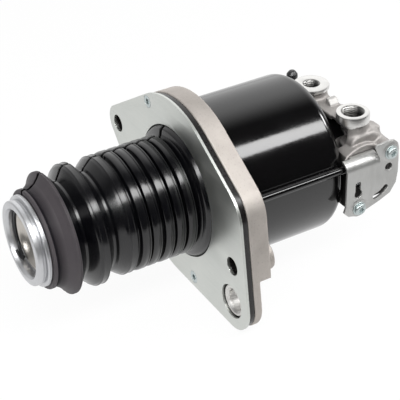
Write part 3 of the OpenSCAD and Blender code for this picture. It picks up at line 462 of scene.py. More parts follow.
def feed(tree, socket, value):
    """Links an input, or sets its value. A colour's fourth part is one."""
    if isinstance(value, bpy.types.NodeSocket):
        tree.links.new(value, socket)
    elif socket.type == "RGBA":
        socket.default_value = (*value, 1)
    else:
        socket.default_value = value


def add_node(tree, kind, inputs=None, **settings):
    """A node with its settings and its inputs, which are values or sockets."""
    made = tree.nodes.new(kind)
    for key, value in settings.items():
        setattr(made, key, value)
    for key, value in (inputs or {}).items():
        feed(tree, made.inputs[key], value)
    return made


def cleared_tree(holder):
    """The empty node tree of a material or world."""
    holder.use_nodes = True
    holder.node_tree.nodes.clear()
    return holder.node_tree


class Look:
    """A node material. Object coordinates are metres in the part's frame."""

    def __init__(self, name, **sockets):
        self.material = bpy.data.materials.new(name)
        self.tree = cleared_tree(self.material)
        self.shader = self.node("ShaderNodeBsdfPrincipled")
        self.node("ShaderNodeOutputMaterial", {"Surface": self.shader.outputs["BSDF"]})
        self.place = self.node("ShaderNodeTexCoord").outputs["Object"]
        for socket, value in sockets.items():
            self.set(socket.replace("_", " "), value)

    def node(self, kind, inputs=None, **settings):
        """A node of this material."""
        return add_node(self.tree, kind, inputs, **settings)

    def set(self, socket, value):
        """Sets or links a socket of the shader."""
        feed(self.tree, self.shader.inputs[socket], value)

    def stretched(self, scale):
        """Coordinates scaled by an amount along each axis."""
        return self.node("ShaderNodeMapping", {"Vector": self.place, "Scale": scale}).outputs["Vector"]

    def noise(self, scale, detail, roughness, where=None):
        """Noise between zero and one."""
        inputs = {"Vector": where or self.place, "Scale": scale, "Detail": detail, "Roughness": roughness}
        return self.node("ShaderNodeTexNoise", inputs).outputs["Fac"]

    def math(self, operation, a, b=0.0):
        """One sum of the Math node."""
        return self.node("ShaderNodeMath", {0: a, 1: b}, operation=operation).outputs[0]

    def plus(self, a, b):
        """The sum of two values."""
        return self.math("ADD", a, b)

    def times(self, a, b):
        """The product of two values."""
        return self.math("MULTIPLY", a, b)

    def span(self, value, low, high, to_low=0.0, to_high=1.0):
        """A range mapped to another, and kept inside it."""
        inputs = {"Value": value, "From Min": low, "From Max": high, "To Min": to_low, "To Max": to_high}
        return self.node("ShaderNodeMapRange", inputs).outputs["Result"]

    def varied(self, first, second, margin, low=0.0, high=1.0):
        """Two noises added and mapped to a range."""
        return self.span(self.plus(first, second), 1 - margin, 1 + margin, low, high)

    def weighed(self, first, share, second):
        """Two values added, the first by its share and the second by the rest."""
        return self.plus(self.times(first, share), self.times(second, 1 - share))

    def mix(self, share, first, second):
        """Two colours mixed."""
        return self.node("ShaderNodeMix", {0: share, 6: first, 7: second}, data_type="RGBA").outputs[2]

    def bump(self, height, distance, strength):
        """A normal from a height. The distance is in metres."""
        inputs = {"Height": height, "Distance": distance, "Strength": strength}
        return self.node("ShaderNodeBump", inputs).outputs["Normal"]

    def finished(self, tone, rough, height, distance, strength):
        """The material, with its colour, its roughness and its fine relief."""
        self.set("Base Color", tone)
        self.set("Roughness", rough)
        self.set("Normal", self.bump(height, distance, strength))
        return self.material

    def separate(self):
        """The three coordinates, as sockets."""
        return self.node("ShaderNodeSeparateXYZ", {0: self.place}).outputs

    def within(self, value, middle, half):
        """One where a coordinate is near a middle, and zero elsewhere."""
        gap = self.math("ABSOLUTE", self.math("SUBTRACT", value, middle * MM))
        return self.math("LESS_THAN", gap, half * MM)

    def radius(self, axis, centre):
        """Distance from an axis, in metres."""
        parts = self.separate()
        squares = []
        for i, c in zip([i for i in range(3) if i != "xyz".index(axis)], centre):
            gap = self.math("SUBTRACT", parts[i], c * MM)
            squares.append(self.times(gap, gap))
        return self.math("SQRT", self.plus(*squares))

    def painted_crevice_shade(self, reach):
        """Up to one in corners and narrow gaps, for painted shade where little light reaches."""
        open_share = self.node("ShaderNodeAmbientOcclusion", {"Distance": reach}, samples=8).outputs["AO"]
        return self.span(open_share, 0.45, 0.1)

    def shadow_behind_bracket(self):
        """One on the face that the bracket covers, which only shows through its holes; painted shadow darkens
        it there.
        """
        parts = self.separate()
        face = self.math("GREATER_THAN", parts[1], (RELAY_FACE_Y - 0.8) * MM)
        return self.times(face, self.span(parts[2], 17 * MM, 15 * MM))

    def milled_pad(self):
        """One on the pad between the ports, whose top is milled bright."""
        parts = self.separate()
        along = self.within(parts[0], PAD_X + PAD_L / 2, PAD_L / 2 + 0.5)
        beside = self.within(parts[1], PAD_Y + PAD_W / 2, PAD_W / 2 + 0.5)
        above = self.span(parts[2], (WEB_Z + 0.6) * MM, (WEB_Z + 1.0) * MM)
        return self.times(self.times(along, beside), above)

    def seams(self):
        """One in the two mould seams of the bellows."""
        parts = self.separate()
        turn = self.math("DIVIDE", self.math("ARCTAN2", parts[2], parts[1]), math.pi)
        turn = self.math("FRACT", self.plus(turn, 2.5 - SEAM_ANGLE / math.pi))
        gap = self.math("ABSOLUTE", self.math("SUBTRACT", turn, 0.5))
        return self.span(gap, math.radians(2.7) / math.pi, math.radians(1.8) / math.pi)

    def flange_paint_and_shade(self, cloud):
        """One on the housing's round flange, up to an uneven edge: black paint as on the can, which also
        stands as painted shade in the gap behind the can.
        """
        edge = self.plus(self.separate()[0], self.times(cloud, 0.001))
        front = self.span(edge, (HOUSING_FLANGE_X - 0.6) * MM, (HOUSING_FLANGE_X + 0.4) * MM)
        near = self.math("LESS_THAN", self.radius("x", AXIS), (HOUSING_FLANGE_R + 1) * MM)
        return self.times(front, near)

    def turned_lines(self, axis, centre, fineness):
        """Fine lines left by turning, which change with the radius and along the axis."""
        along = self.plus(self.radius(axis, centre), self.separate()["xyz".index(axis)])
        inputs = {"W": along, "Scale": fineness, "Detail": 3.0, "Roughness": 0.6}
        return self.node("ShaderNodeTexNoise", inputs, noise_dimensions="1D").outputs["Fac"]


def scaled(colour, factor):
    """A colour made darker or brighter."""
    return tuple(min(1.0, c * factor) for c in colour)


def port_metal(name, port):
    """Machined port ring, which painted shade darkens down its thread."""
    look = Look(name, Metallic=1.0)
    centre = (PORT_X, port.y)
    lines = look.turned_lines("z", centre, 2600)
    tone = look.mix(look.varied(lines, look.noise(120, 2, 0.5), 0.3), (0.66, 0.655, 0.64), (0.8, 0.79, 0.77))
    inside = look.math("LESS_THAN", look.radius("z", centre), (port.thread_r + 0.2) * MM)
    bore_shade = look.span(look.separate()[2], (port.z - 0.3) * MM, (port.z - 5.0) * MM, 0.62, 1.0)
    # Painted shade in the bore: the thread goes dark from just under its top.
    tone = look.mix(look.times(inside, bore_shade), tone, (0.035, 0.034, 0.032))
    return look.finished(tone, look.span(lines, 0.3, 0.7, 0.27, 0.4), lines, 0.000012, 0.8)


def plated_sheet(name, bright, dull, rough, rolled):
    """Plated steel sheet: cloudy tone, faint rolling lines and a fine grain."""
    look = Look(name, Metallic=1.0)
    cloud = look.noise(28, 3, 0.55)
    lines = look.noise(1, 3, 0.6, look.stretched(rolled))
    grain = look.noise(1500, 2, 0.6)
    tone = look.mix(look.span(look.weighed(cloud, 0.7, lines), 0.3, 0.7), dull, bright)
    gloss = look.varied(cloud, grain, 0.4, rough - 0.05, rough + 0.06)
    return look.finished(tone, gloss, look.weighed(lines, 0.6, grain), 0.00002, 0.5)


def cast_alloy(name, pale, dark, grain_size, pad_paint_and_shade=False):
    """Blasted die casting: fine grain, small pits, a cloudy tone, slightly brighter edges and painted shade
    in corners.
    Where its last argument is set, shadow is painted behind the bracket and the pad is milled bright,
    and the can's black paint covers its round flange too, which also stands as painted shade behind the can."""
    look = Look(name)
    grain = look.noise(1 / grain_size, 4, 0.7)
    cloud = look.noise(40, 3, 0.6)
    pits = look.node("ShaderNodeTexVoronoi", {"Vector": look.place, "Scale": 520.0}).outputs["Distance"]
    pitted = look.span(pits, 0.0, 0.28)
    worn = look.span(look.node("ShaderNodeNewGeometry").outputs["Pointiness"], 0.5, 0.62)
    tone = look.mix(look.span(cloud, 0.3, 0.7), dark, pale)
    tone = look.mix(look.times(worn, 0.35), tone, scaled(pale, 1.3))
    tone = look.mix(look.span(pitted, 0, 1, 0.35, 0.0), tone, scaled(dark, 0.45))
    painted_shade = look.painted_crevice_shade(0.014)
    if pad_paint_and_shade:
        # Painted shadow on the face behind the bracket, joined to the painted shade of the corners.
        painted_shade = look.math("MAXIMUM", painted_shade, look.shadow_behind_bracket())
        tone = look.mix(look.milled_pad(), tone, (0.56, 0.55, 0.535))
    # Painted shade: corners, gaps and, on the housing, the face behind the bracket go towards a tenth of the
    # dark tone.
    tone = look.mix(painted_shade, tone, scaled(dark, 0.1))
    rough = look.varied(grain, cloud, 0.4, 0.6, 0.74)
    metallic = 1.0
    if pad_paint_and_shade:
        # The can's black paint on the housing's round flange, which also stands as painted shade in the gap
        # behind the can.
        paint_and_shade = look.flange_paint_and_shade(cloud)
        tone = look.mix(paint_and_shade, tone, (0.004, 0.004, 0.0045))
        rough = look.times(rough, look.span(paint_and_shade, 0, 1, 1.0, 0.5))
        metallic = look.span(paint_and_shade, 0, 1, 1.0, 0.0)
    look.set("Metallic", metallic)
    return look.finished(tone, rough, look.plus(grain, look.times(pitted, 0.5)), 0.00012, 0.55)


def turned_metal(name, colour, rough, centre=AXIS, depth=0.000012):
    """Turned metal with fine lines round an axis along X."""
    look = Look(name, Metallic=1.0)
    lines = look.turned_lines("x", centre, 2600)
    tone = look.mix(look.varied(lines, look.noise(90, 2, 0.5), 0.3), scaled(colour, 0.86), colour)
    gloss = look.span(lines, 0.3, 0.7, rough - 0.05, rough + 0.09)
    return look.finished(tone, gloss, lines, depth, 0.8)


def gloss_paint(name, colour, peel):
    """Gloss paint with the faint waves of a sprayed coat and a little dust."""
    look = Look(name, IOR=1.52, Specular_IOR_Level=0.68)
    dust = look.span(look.noise(900, 3, 0.7), 0.62, 0.8, 0.0, 0.35)
    tone = look.mix(dust, colour, tuple(c * 3 + 0.004 for c in colour))
    gloss = look.span(look.noise(35, 3, 0.6), 0.3, 0.7, 0.09, 0.15)
    return look.finished(tone, gloss, look.noise(peel, 2, 0.5), 0.00006, 0.28)


def moulded_rubber(name, colour, rough, bloom, front=None):
    """Moulded rubber with a fine skin, a faint grey bloom and fine marks round the folds.
    From its first front station on, handling has left it matte and paler, and painted shade darkens it up to
    the second.
    The stations are those of the rest pose, which the mesh holds as an attribute."""
    look = Look(name, IOR=1.5, Specular_IOR_Level=0.6)
    skin = look.noise(1400, 3, 0.65)
    cloud = look.noise(55, 3, 0.6)
    marks = look.turned_lines("x", AXIS, 900)
    tone = look.mix(look.span(cloud, 0.35, 0.75), colour, tuple(c + bloom for c in colour))
    gloss = look.varied(cloud, skin, 0.4, rough - 0.05, rough + 0.09)
    if front:
        along = look.node("ShaderNodeAttribute", attribute_name=REST_STATION).outputs["Fac"]
        ahead = look.span(along, (front[0] - 0.2) * MM, (front[0] + 0.2) * MM)
        tone = look.mix(ahead, tone, look.mix(cloud, (0.044, 0.039, 0.044), (0.07, 0.062, 0.066)))
        # Painted shade in the dip behind the bead, which also dims its reflections.
        shaded = look.span(along, (front[1] - 7) * MM, (front[1] - 1.0) * MM, 0, 0.95)
        shaded = look.times(shaded, look.math("LESS_THAN", along, front[1] * MM))
        tone = look.mix(shaded, tone, (0.008, 0.007, 0.009))
        seam = look.seams()
        tone = look.mix(seam, tone, (0.001, 0.001, 0.001))
        gloss = look.plus(gloss, look.times(ahead, 0.3))
        gloss = look.plus(gloss, look.times(seam, 0.5))
        level = look.times(look.span(ahead, 0, 1, 0.6, 0.2), look.span(seam, 0, 1, 1, 0.05))
        look.set("Specular IOR Level", look.times(level, look.span(shaded, 0, 1, 1, 0.1)))
    return look.finished(tone, gloss, look.weighed(skin, 0.7, marks), 0.00003, 0.5)


def plain_solid(name, colour, rough, metallic=0.0, grain=900.0, depth=0.00003):
    """Even material with a fine grain, for seals, springs and hidden parts."""
    look = Look(name, Metallic=metallic)
    fine = look.noise(grain, 3, 0.6)
    cloud = look.noise(60, 2, 0.5)
    tone = look.mix(look.span(cloud, 0.3, 0.7), scaled(colour, 0.8), colour)
    return look.finished(tone, look.span(fine, 0.3, 0.7, rough - 0.06, rough + 0.08), fine, depth, 0.5)


LOOKS = {name: maker(name, *values) for name, maker, *values in (
    ("zinc_plate", plated_sheet, (0.66, 0.675, 0.645), (0.57, 0.59, 0.565), 0.42, (40, 30, 700)),
    ("packing", plain_solid, (0.006, 0.005, 0.005), 0.3, 0.0, 700.0, 0.00006),
    ("cast_flange", cast_alloy, (0.54, 0.505, 0.475), (0.43, 0.4, 0.372), 0.0009),
    ("cast_housing", cast_alloy, (0.47, 0.45, 0.435), (0.37, 0.352, 0.34), 0.0007, True),
    ("zinc_screw", plated_sheet, (0.56, 0.62, 0.62), (0.42, 0.47, 0.47), 0.36, (300, 300, 300)),
    ("machined_ring", turned_metal, (0.62, 0.625, 0.64), 0.4),
    ("black_paint", gloss_paint, (0.0022, 0.0021, 0.0023), 260),
    ("black_pipe", gloss_paint, (0.0026, 0.0025, 0.0027), 500),
    ("bracket_sheet", plated_sheet, (0.57, 0.57, 0.56), (0.41, 0.41, 0.4), 0.48, (300, 90, 90)),
    ("boot_rubber", moulded_rubber, (0.0014, 0.0014, 0.0022), 0.19, 0.002, (92.2, 105.9)),
    ("seal_rubber", plain_solid, (0.016, 0.016, 0.017), 0.45),
    ("cap_rubber", moulded_rubber, (0.012, 0.012, 0.013), 0.3, 0.006),
    ("steel", turned_metal, (0.56, 0.57, 0.58), 0.26),
    ("dark_spring", plain_solid, (0.012, 0.012, 0.014), 0.35),
    ("bronze", plain_solid, (0.55, 0.36, 0.17), 0.32, 1.0),
    ("turned_alloy", turned_metal, (0.72, 0.73, 0.75), 0.28),
    ("polished_cup", turned_metal, (0.56, 0.53, 0.49), 0.3, AXIS, 0.000004),
    ("band_plastic", plain_solid, (0.75, 0.72, 0.64), 0.5),
    ("valve_rubber", plain_solid, (0.02, 0.02, 0.02), 0.5),
    ("bleed_brass", plain_solid, (0.6, 0.5, 0.28), 0.28, 1.0),
)}


def linked(name, data):
    """An object of a mesh, curve, camera or lamp, put in the scene."""
    obj = bpy.data.objects.new(name, data)
    bpy.context.scene.collection.objects.link(obj)
    return obj


def piece(name, form, body, slot, replaces=(), look=None, sharp=38.0):
    """Makes an object of points and faces, dresses it and lets it ride on its body."""
    points, faces = form
    data = bpy.data.meshes.new(name)
    data.from_pydata((np.array(points, float) * MM).tolist(), [], faces)
    made = bmesh.new()
    made.from_mesh(data)
    bmesh.ops.recalc_face_normals(made, faces=made.faces)
    made.to_mesh(data)
    made.free()
    data.shade_smooth()
    data.set_sharp_from_angle(angle=math.radians(sharp))
    data.materials.append(look or LOOKS[slot])
    obj = linked(name, data)
    if body:
        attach(obj, body)
    if replaces:
        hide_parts(*replaces)
    return obj


def cad_corners(node):
    """The lowest and the highest corner of a CAD node, in millimetres."""
    return [np.array(p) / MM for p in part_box(node)]


def turned_piece(name, profile, steps, count, body, slot, node, axis="x", centre=(0, 0, 0), look=None):
    """A piece turned from a closed profile with rounded corners."""
    form = loft(softened(profile, steps), even_angles(count), axis, centre)
    piece(name, form, body, slot, [node], look)


def sheet_form(outline, holes, back, front, edge):
    """A flat sheet across X with round holes and rounded edges, made from a filled curve."""
    curve = bpy.data.curves.new("sheet_outline", "CURVE")
    curve.dimensions = "2D"
    curve.fill_mode = "BOTH"
    curve.extrude = (front - back) / 2 - edge
    curve.bevel_depth = edge
    curve.bevel_resolution = 2
    curve.offset = -edge
    loops = [outline]
    for u, v, r in holes:
        angles = even_angles(160 if r > 20 else 72)
        loops.append([(u + r * math.cos(a), v + r * math.sin(a)) for a in angles])
    for loop in loops:
        spline = curve.splines.new("POLY")
        spline.points.add(len(loop) - 1)
        for point, (u, v) in zip(spline.points, loop):
            point.co = (u, v, 0, 1)
        spline.use_cyclic_u = True
    holder = linked("sheet_outline", curve)
    bpy.context.view_layer.update()
    data = bpy.data.meshes.new_from_object(holder.evaluated_get(bpy.context.evaluated_depsgraph_get()))
    made = bmesh.new()
    made.from_mesh(data)
    bmesh.ops.remove_doubles(made, verts=made.verts, dist=1e-4)
    points = np.array([v.co for v in made.verts])
    faces = [tuple(v.index for v in f.verts) for f in made.faces]
    made.free()
    bpy.data.objects.remove(holder)
    bpy.data.curves.remove(curve)
    bpy.data.meshes.remove(data)
    return np.stack([points[:, 2] + (front + back) / 2, points[:, 0], points[:, 1]], 1), faces


def sheet_holes(bore_r, screw_r):
    """Holes of plate or packing: its bore, and those for bolts, sleeve and screws."""
    bolts = [(*place, BOLT_HOLE_R) for place in BOLTS]
    screws = [(*place, screw_r) for place in COVER_SCREWS]
    return [(*AXIS, bore_r), *bolts, (*SLEEVE, SLEEVE_WINDOW_R), *screws]


def make_plates():
    """The zinc cover plate and the packing sheet behind it."""
    plate = sheet_form(hull_outline(OUTLINE), sheet_holes(PLATE_BORE_R, 4.6), -PLATE_T, 0, 0.2)
    piece("cover_plate_sheet", plate, "housing", "zinc_plate", ["cover_plate"])
    holes = sheet_holes(PACKING_BORE_R, SCREW_HOLE_R)
    packing = sheet_form(hull_outline(OUTLINE, 1.3), holes, FLANGE_X + 0.02, -PLATE_T - 0.02, 0.4)
    piece("packing_form", packing, "housing", "packing", ["packing_sheet"])


def make_flange():
    """The casting that carries the bellows in front and the can behind."""
    spigot_r, can_seat_r, bush_wall = 36, 37.1, 4
    behind = FLANGE_BACK_X - 9
    field = Field((-30, -101, -72), (0, 95, 72), 0.75)
    field.add(slab("x", FLANGE_BACK_X, FLANGE_X, hull_outline(OUTLINE, 0.6), 0.9))
    for place in BOLTS:
        field.add(bar("x", FLANGE_BACK_X - 6, FLANGE_X - 2, place, BOLT_BOSS_R, 1.0), 2.5)
    field.add(bar("x", FLANGE_X - 2, -1.5, AXIS, spigot_r, 0.8), 1.0)
    field.add(ring("x", -4.5, -2.5, AXIS, can_seat_r, 30), 0.8)
    field.add(bar("x", FLANGE_BACK_X - 3, FLANGE_X - 2, AXIS, BUSH_R + bush_wall, 0.8), 1.0)
    relief = bar("x", FLANGE_BACK_X - 8, FLANGE_X - 5.8, SLEEVE, 27.5)
    body = bar("x", behind, 0, AXIS, CAN_R + 5)
    boss = bar("x", behind, 0, BOLTS[1], BOLT_BOSS_R)
    field.cut(without(relief, body, boss), 1.6)
    for place in BOLTS:
        field.cut(bar("x", behind, 1, place, BOLT_HOLE_R), 0.6)
    field.cut(bar("x", behind, 1, SLEEVE, SLEEVE_R + 0.1), 0.4)
    for place in COVER_SCREWS:
        field.cut(bar("x", FLANGE_X - 13, 1, place, 2.6))
    field.cut(bar("x", behind, 1, AXIS, BUSH_R))
    field.cut(bar("x", -5.5, 1, AXIS, BUSH_R + 1.5))
    rear = FLANGE_BACK_X - 2
    field.cut(ring("x", rear, FLANGE_BACK_X + 4, AXIS, CAN_R + 0.1, CAN_R - CAN_WALL - 0.1))
    field.cut(ring("x", rear, FLANGE_BACK_X + 8, AXIS, 39, BUSH_R + bush_wall))
    field.cut(bar("x", rear, FLANGE_BACK_X + 8, PIPE, PIPE_HOLE_R), 0.6)
    piece("front_flange_casting", field.mesh(), "housing", "cast_flange", ["front_flange"], sharp=75)


def make_can():
    """The deep drawn can with its rounded rear edge and its step."""
    inner = CAN_R - CAN_WALL
    profile = [
        (FLANGE_BACK_X + 4, inner, 0.4), (FLANGE_BACK_X + 4, CAN_R, 0.4), (CAN_REAR_X, CAN_R, 9.0),
        (CAN_REAR_X, NECK_R, 1.6), (NECK_REAR_X, NECK_R, 3.0), (NECK_REAR_X, NECK_BORE_R, 0.4),
        (NECK_REAR_X + CAN_WALL, NECK_BORE_R, 0.4), (NECK_REAR_X + CAN_WALL, NECK_R - CAN_WALL, 1.5),
        (CAN_REAR_X + CAN_WALL, NECK_R - CAN_WALL, 2.0), (CAN_REAR_X + CAN_WALL, inner, 7.5),
    ]
    turned_piece("air_cylinder_can", profile, 10, 288, "housing", "black_paint", "air_cylinder")


def make_pipe():
    """The vent pipe beside the can."""
    rear, front = PORT_X + 6.3, FLANGE_BACK_X + 7.5
    profile = [(rear, PIPE_BORE_R, 0.3), (rear, PIPE_R, 0.4), (front, PIPE_R, 0.4), (front, PIPE_BORE_R, 0.3)]
    turned_piece("vent_pipe_tube", profile, 3, 40, "housing", "black_pipe", "vent_pipe", "x", (0, *PIPE))


def star(angles, radius, depth):
    """Radii of a six-lobed socket."""
    return radius - depth * (0.5 - 0.5 * np.cos(6 * angles)) ** 0.8


def make_cover_screws(angles):
    """The countersunk screws of the cover plate."""
    socket = star(angles, 2.3, 0.62)
    rings = [
        (-16, 0), (-16, 1.6), (-15, 2.5), (-3.4, 2.5), (-2.0, 2.6), (-0.35, 4.35), (-0.1, 4.5), (-0.02, 4.4),
        (-0.02, 3.2), (-0.05, star(angles, 2.55, 0.6)), (-0.25, socket), (-1.7, socket * 0.97),
        (-2.0, 1.2), (-2.2, 0),
    ]
    for n, place in enumerate(COVER_SCREWS):
        form = loft(rings, angles, "x", (0, *place))
        piece(f"cover_screw_{n + 1}", form, "housing", "zinc_screw", ["cover_screws"])


def make_bracket_screws(angles):
    """The pan screws of the bracket, with their washers."""
    seat = BRACKET_Y + BRACKET_T + 0.4
    head = seat + WASHER_T
    top = head + HEAD_H
    washer = [(seat, 2.7, 0.2), (seat, 5.2, 0.3), (head, 5.2, 0.3), (head, 2.7, 0.2)]
    socket = star(angles, 2.25, 0.6)
    rings = [
        (head - 12, 0), (head - 12, 1.8), (head - 11.2, 2.5), (head, 2.5), (head, 3.9), (head + 0.2, 4.1),
        (top - 0.9, 4.1), (top - 0.4, 3.85), (top - 0.1, 3.3), (top, 2.7),
        (top - 0.05, star(angles, 2.4, 0.6)), (top - 0.35, socket), (head + 0.7, socket * 0.97),
        (head + 0.45, 0),
    ]
    for n, (x, z) in enumerate(BRACKET_SCREWS):
        name, place = f"bracket_washer_{n + 1}", (x, 0, z)
        turned_piece(name, washer, 3, 96, "housing", "zinc_screw", "bracket_washers", "y", place)
        form = loft(rings, angles, "y", place)
        piece(f"bracket_screw_{n + 1}", form, "housing", "zinc_screw", ["bracket_screws"])


def make_sleeve():
    """The pressed locating sleeve, with its rounded collar in the window of plate and packing."""
    front, back, collar_r = -1.6, -14.0, 11.3
    profile = [
        (back, SLEEVE_BORE_R, 0.4), (back, SLEEVE_R, 0.4), (FLANGE_X + 0.1, SLEEVE_R, 0.1),
        (FLANGE_X + 0.1, collar_r, 0.4), (front, collar_r, 1.5), (front, 9.7, 0.8),
        (front - 1.7, SLEEVE_BORE_R, 0.8),
    ]
    look = turned_metal("machined_sleeve", (0.78, 0.77, 0.75), 0.5, SLEEVE)
    name, place = "locating_sleeve_ring", (0, *SLEEVE)
    turned_piece(name, profile, 4, 96, "housing", "machined_ring", "locating_sleeve", "x", place, look)


def relay_section(corners):
    """Outline in X and Z of the relay valve's block, from corners given from the ports' plane."""
    return hull_outline([(PORT_X + dx, z, r) for dx, z, r in corners], 0, 64)


def add_hub(field):
    """The round flange on the can's neck, with the stepped hub behind it."""
    field.add(bar("x", HOUSING_FLANGE_X, NECK_REAR_X, AXIS, HOUSING_FLANGE_R, 1.2))
    field.add(bar("x", HUB_REAR_X, NECK_REAR_X, AXIS, 21, 1.2), 3)
    field.add(bar("x", HUB_REAR_X - 4, HUB_REAR_X + 4, AXIS, 17, 1.5), 2)


def add_relay(field):
    """The relay valve's block, its barrel and its round end."""
    rear = [(-12, 23, 6), (-21, 13, 7), (-21, -15, 7), (-12, -16, 6)]
    front = [(2, 25, 6), (-9, 26, 6), (-21, 13, 7), (-21, -15, 7), (2, -16, 6)]
    field.add(slab("y", RELAY_START_Y, RELAY_FACE_Y, relay_section(rear), 2.5), 5)
    field.add(slab("y", RELAY_FACE_Y - 8, RELAY_FACE_Y, relay_section(front), 2.0), 4)
    field.add(bar("y", RELAY_START_Y, 45, (PORT_X, RELAY_Z), 15.4), 3)
    field.add(bar("y", 43, RELAY_FACE_Y + 4, (PORT_X, RELAY_Z), 22.2, 1.2), 0.8)


def add_port_necks(field):
    """The necks under the port rings. The air port's stands a little back."""
    for port in PORTS:
        set_back = 1.2 if port is AIR_PORT else 0
        neck_r = port.ring_r - PORT_STEP - set_back * 0.7
        foot = port.z - port.ring_h - 0.3
        field.add(bar("z", 10, foot, (PORT_X - set_back, port.y), neck_r), 2.5)


def add_web(field):
    """The web between the ports with its milled pad, the bleed point's boss and the rib."""
    low_y, high_y = HYD_PORT.y, AIR_PORT.y
    rear, pad_foot, pad_top = PORT_X - 9, WEB_Z - 3, WEB_Z + 4.2
    field.add(block((rear, low_y, WEB_Z - 4), (PORT_X + 7, high_y, WEB_Z), 1.2), 2.5)
    field.add(block((rear, low_y, 10), (PORT_X - 5, high_y, WEB_Z - 2), 1.2), 3)
    pad = [(PAD_Y, pad_foot), (PAD_Y + PAD_W, pad_foot), (PAD_Y + PAD_W, WEB_Z + 1.1)]
    pad += [(PAD_Y + 3, pad_top), (PAD_Y, pad_top)]
    field.add(slab("x", PAD_X, PAD_X + PAD_L, pad, 0.3), 0.5)
    field.add(bar("z", 0, 30, BLEED, 8, 1.2), 3)
    rib = [(PORT_X - 21, 8), (PORT_X, 8), (PORT_X, 38.8), (PORT_X - 6, 37), (PORT_X - 21, 29.8)]
    field.add(slab("y", high_y - 5.5, high_y + 5.5, rib, 2.5), 3)


def add_seats(field):
    """The seats of the bracket's screws and of the vent pipe."""
    pipe_y, pipe_z = PIPE
    for place in BRACKET_SCREWS:
        field.add(bar("y", 45, BRACKET_Y, place, 5.5, 0.4), 2)
    field.add(bar("x", PORT_X + 2, CAN_REAR_X - 1.5, PIPE, 4.4, 0.3), 1)
    field.add(block((PORT_X + 2, 50, pipe_z - 3.5), (CAN_REAR_X - 2.5, pipe_y, pipe_z + 3.5), 0.8), 2)


def cut_outside(field):
    """The room for the can, and the waist under the air port's ring."""
    field.cut(bar("x", CAN_REAR_X - 0.4, 1, AXIS, CAN_R + 0.4), 0.4)
    field.cut(bar("x", NECK_REAR_X, 1, AXIS, NECK_R + 0.4), 0.4)
    low, high = 22.5, 37.6
    waist = [(PORT_X - 2.5, low), (PORT_X + 30, low), (PORT_X + 30, high), (PORT_X + 7.6, high)]
    field.cut(slab("y", AIR_PORT.y - 16, 44.5, waist), 1.5)


def cut_bores(field):
    """The bores of ports, rod, bleed screw, relay valve, screws and pipe."""
    beyond = BRACKET_Y + 1
    for port in PORTS:
        field.cut(bar("z", port.z - port.depth, port.z + 2, (PORT_X, port.y), port.thread_r + THREAD_WALL))
    field.cut(bar("x", NECK_REAR_X - 17, 0, AXIS, NECK_BORE_R))
    field.cut(bar("x", NECK_REAR_X - 25, 0, AXIS, 12.6))
    field.cut(bar("z", 12, 40, BLEED, 4.1))
    field.cut(bar("y", 19.5, beyond, (PORT_X, RELAY_Z), 9.1))
    field.cut(bar("y", 37.5, beyond, (PORT_X, RELAY_Z), 12.1), 0.5)
    for place in BRACKET_SCREWS:
        field.cut(bar("y", BRACKET_Y - 12, beyond, place, SCREW_HOLE_R))
    field.cut(bar("x", PORT_X + 5.8, 1, PIPE, PIPE_HOLE_R))
    field.cut(bar("x", CAN_REAR_X - 4.5, 1, PIPE, 3.8), 0.3)


def make_housing():
    """The casting of the hydraulic end and the relay valve."""
    field = Field((-154, -42, -38), (-99, 68, 44), 0.7)
    for step in (add_hub, add_relay, add_port_necks, add_web, add_seats, cut_outside, cut_bores):
        step(field)
    piece("valve_housing_casting", field.mesh(), "housing", "cast_housing", ["valve_housing"], sharp=75)


def make_port(name, port):
    """The machined ring of a port with its internal thread."""
    angles = even_angles(96)
    z, ring_r, core_r = port.z, port.ring_r, port.core_r
    foot, deepest, wall_r = z - port.ring_h, z - port.depth - 0.5, port.thread_r + THREAD_WALL
    rings = [
        (deepest, wall_r), (foot - 0.6, wall_r), (foot - 0.6, ring_r - PORT_STEP - 0.2),
        (foot - 0.1, ring_r - 0.6), (foot + 0.5, ring_r), (z - 0.8, ring_r), (z - 0.25, ring_r - 0.25),
        (z, ring_r - 0.8), (z, core_r + port.chamfer + 0.2),
    ]
    for along in np.arange(z - 0.25, z - port.depth + 0.4, -PITCH / 8):
        phase = (along / PITCH - angles / (2 * math.pi)) % 1.0
        wave = 1 - np.abs(2 * phase - 1)
        fade = min(1.0, (along - z + port.depth) / PITCH)
        entry = core_r + port.chamfer - (z - along)
        rings.append((along, np.maximum(core_r + (port.thread_r - core_r) * wave * fade, entry)))
    rings.append((deepest, core_r))
    look = port_metal(f"{name}_metal", port)
    form = loft(rings, angles, "z", (PORT_X, port.y, 0))
    piece(name, form, "housing", "machined_ring", (), look)


def bracket_face(left, right, foot_z):
    """Outline of the bracket's flat face in X and Z, up to its rolled edge."""
    points = [
        (20.7, 8), (20.7, -16.5), (22.2, -21.2), (18.4, -25.2), (11, -27), (3.5, -24.4), (-7, -21.2),
        (-16.8, -17.2), (-21.6, -10), (-22.9, -1), (-22.5, 18), (-21.3, 22.5), (-18.4, 25.2), (-14.5, 26),
        (-3.4, 25.3), (-2.4, 23.9), (-4.6, 18.6), (-6.6, 14),
    ]
    return [(PORT_X + dx, RELAY_Z + dz) for dx, dz in points] + [(left, foot_z), (right, foot_z)]


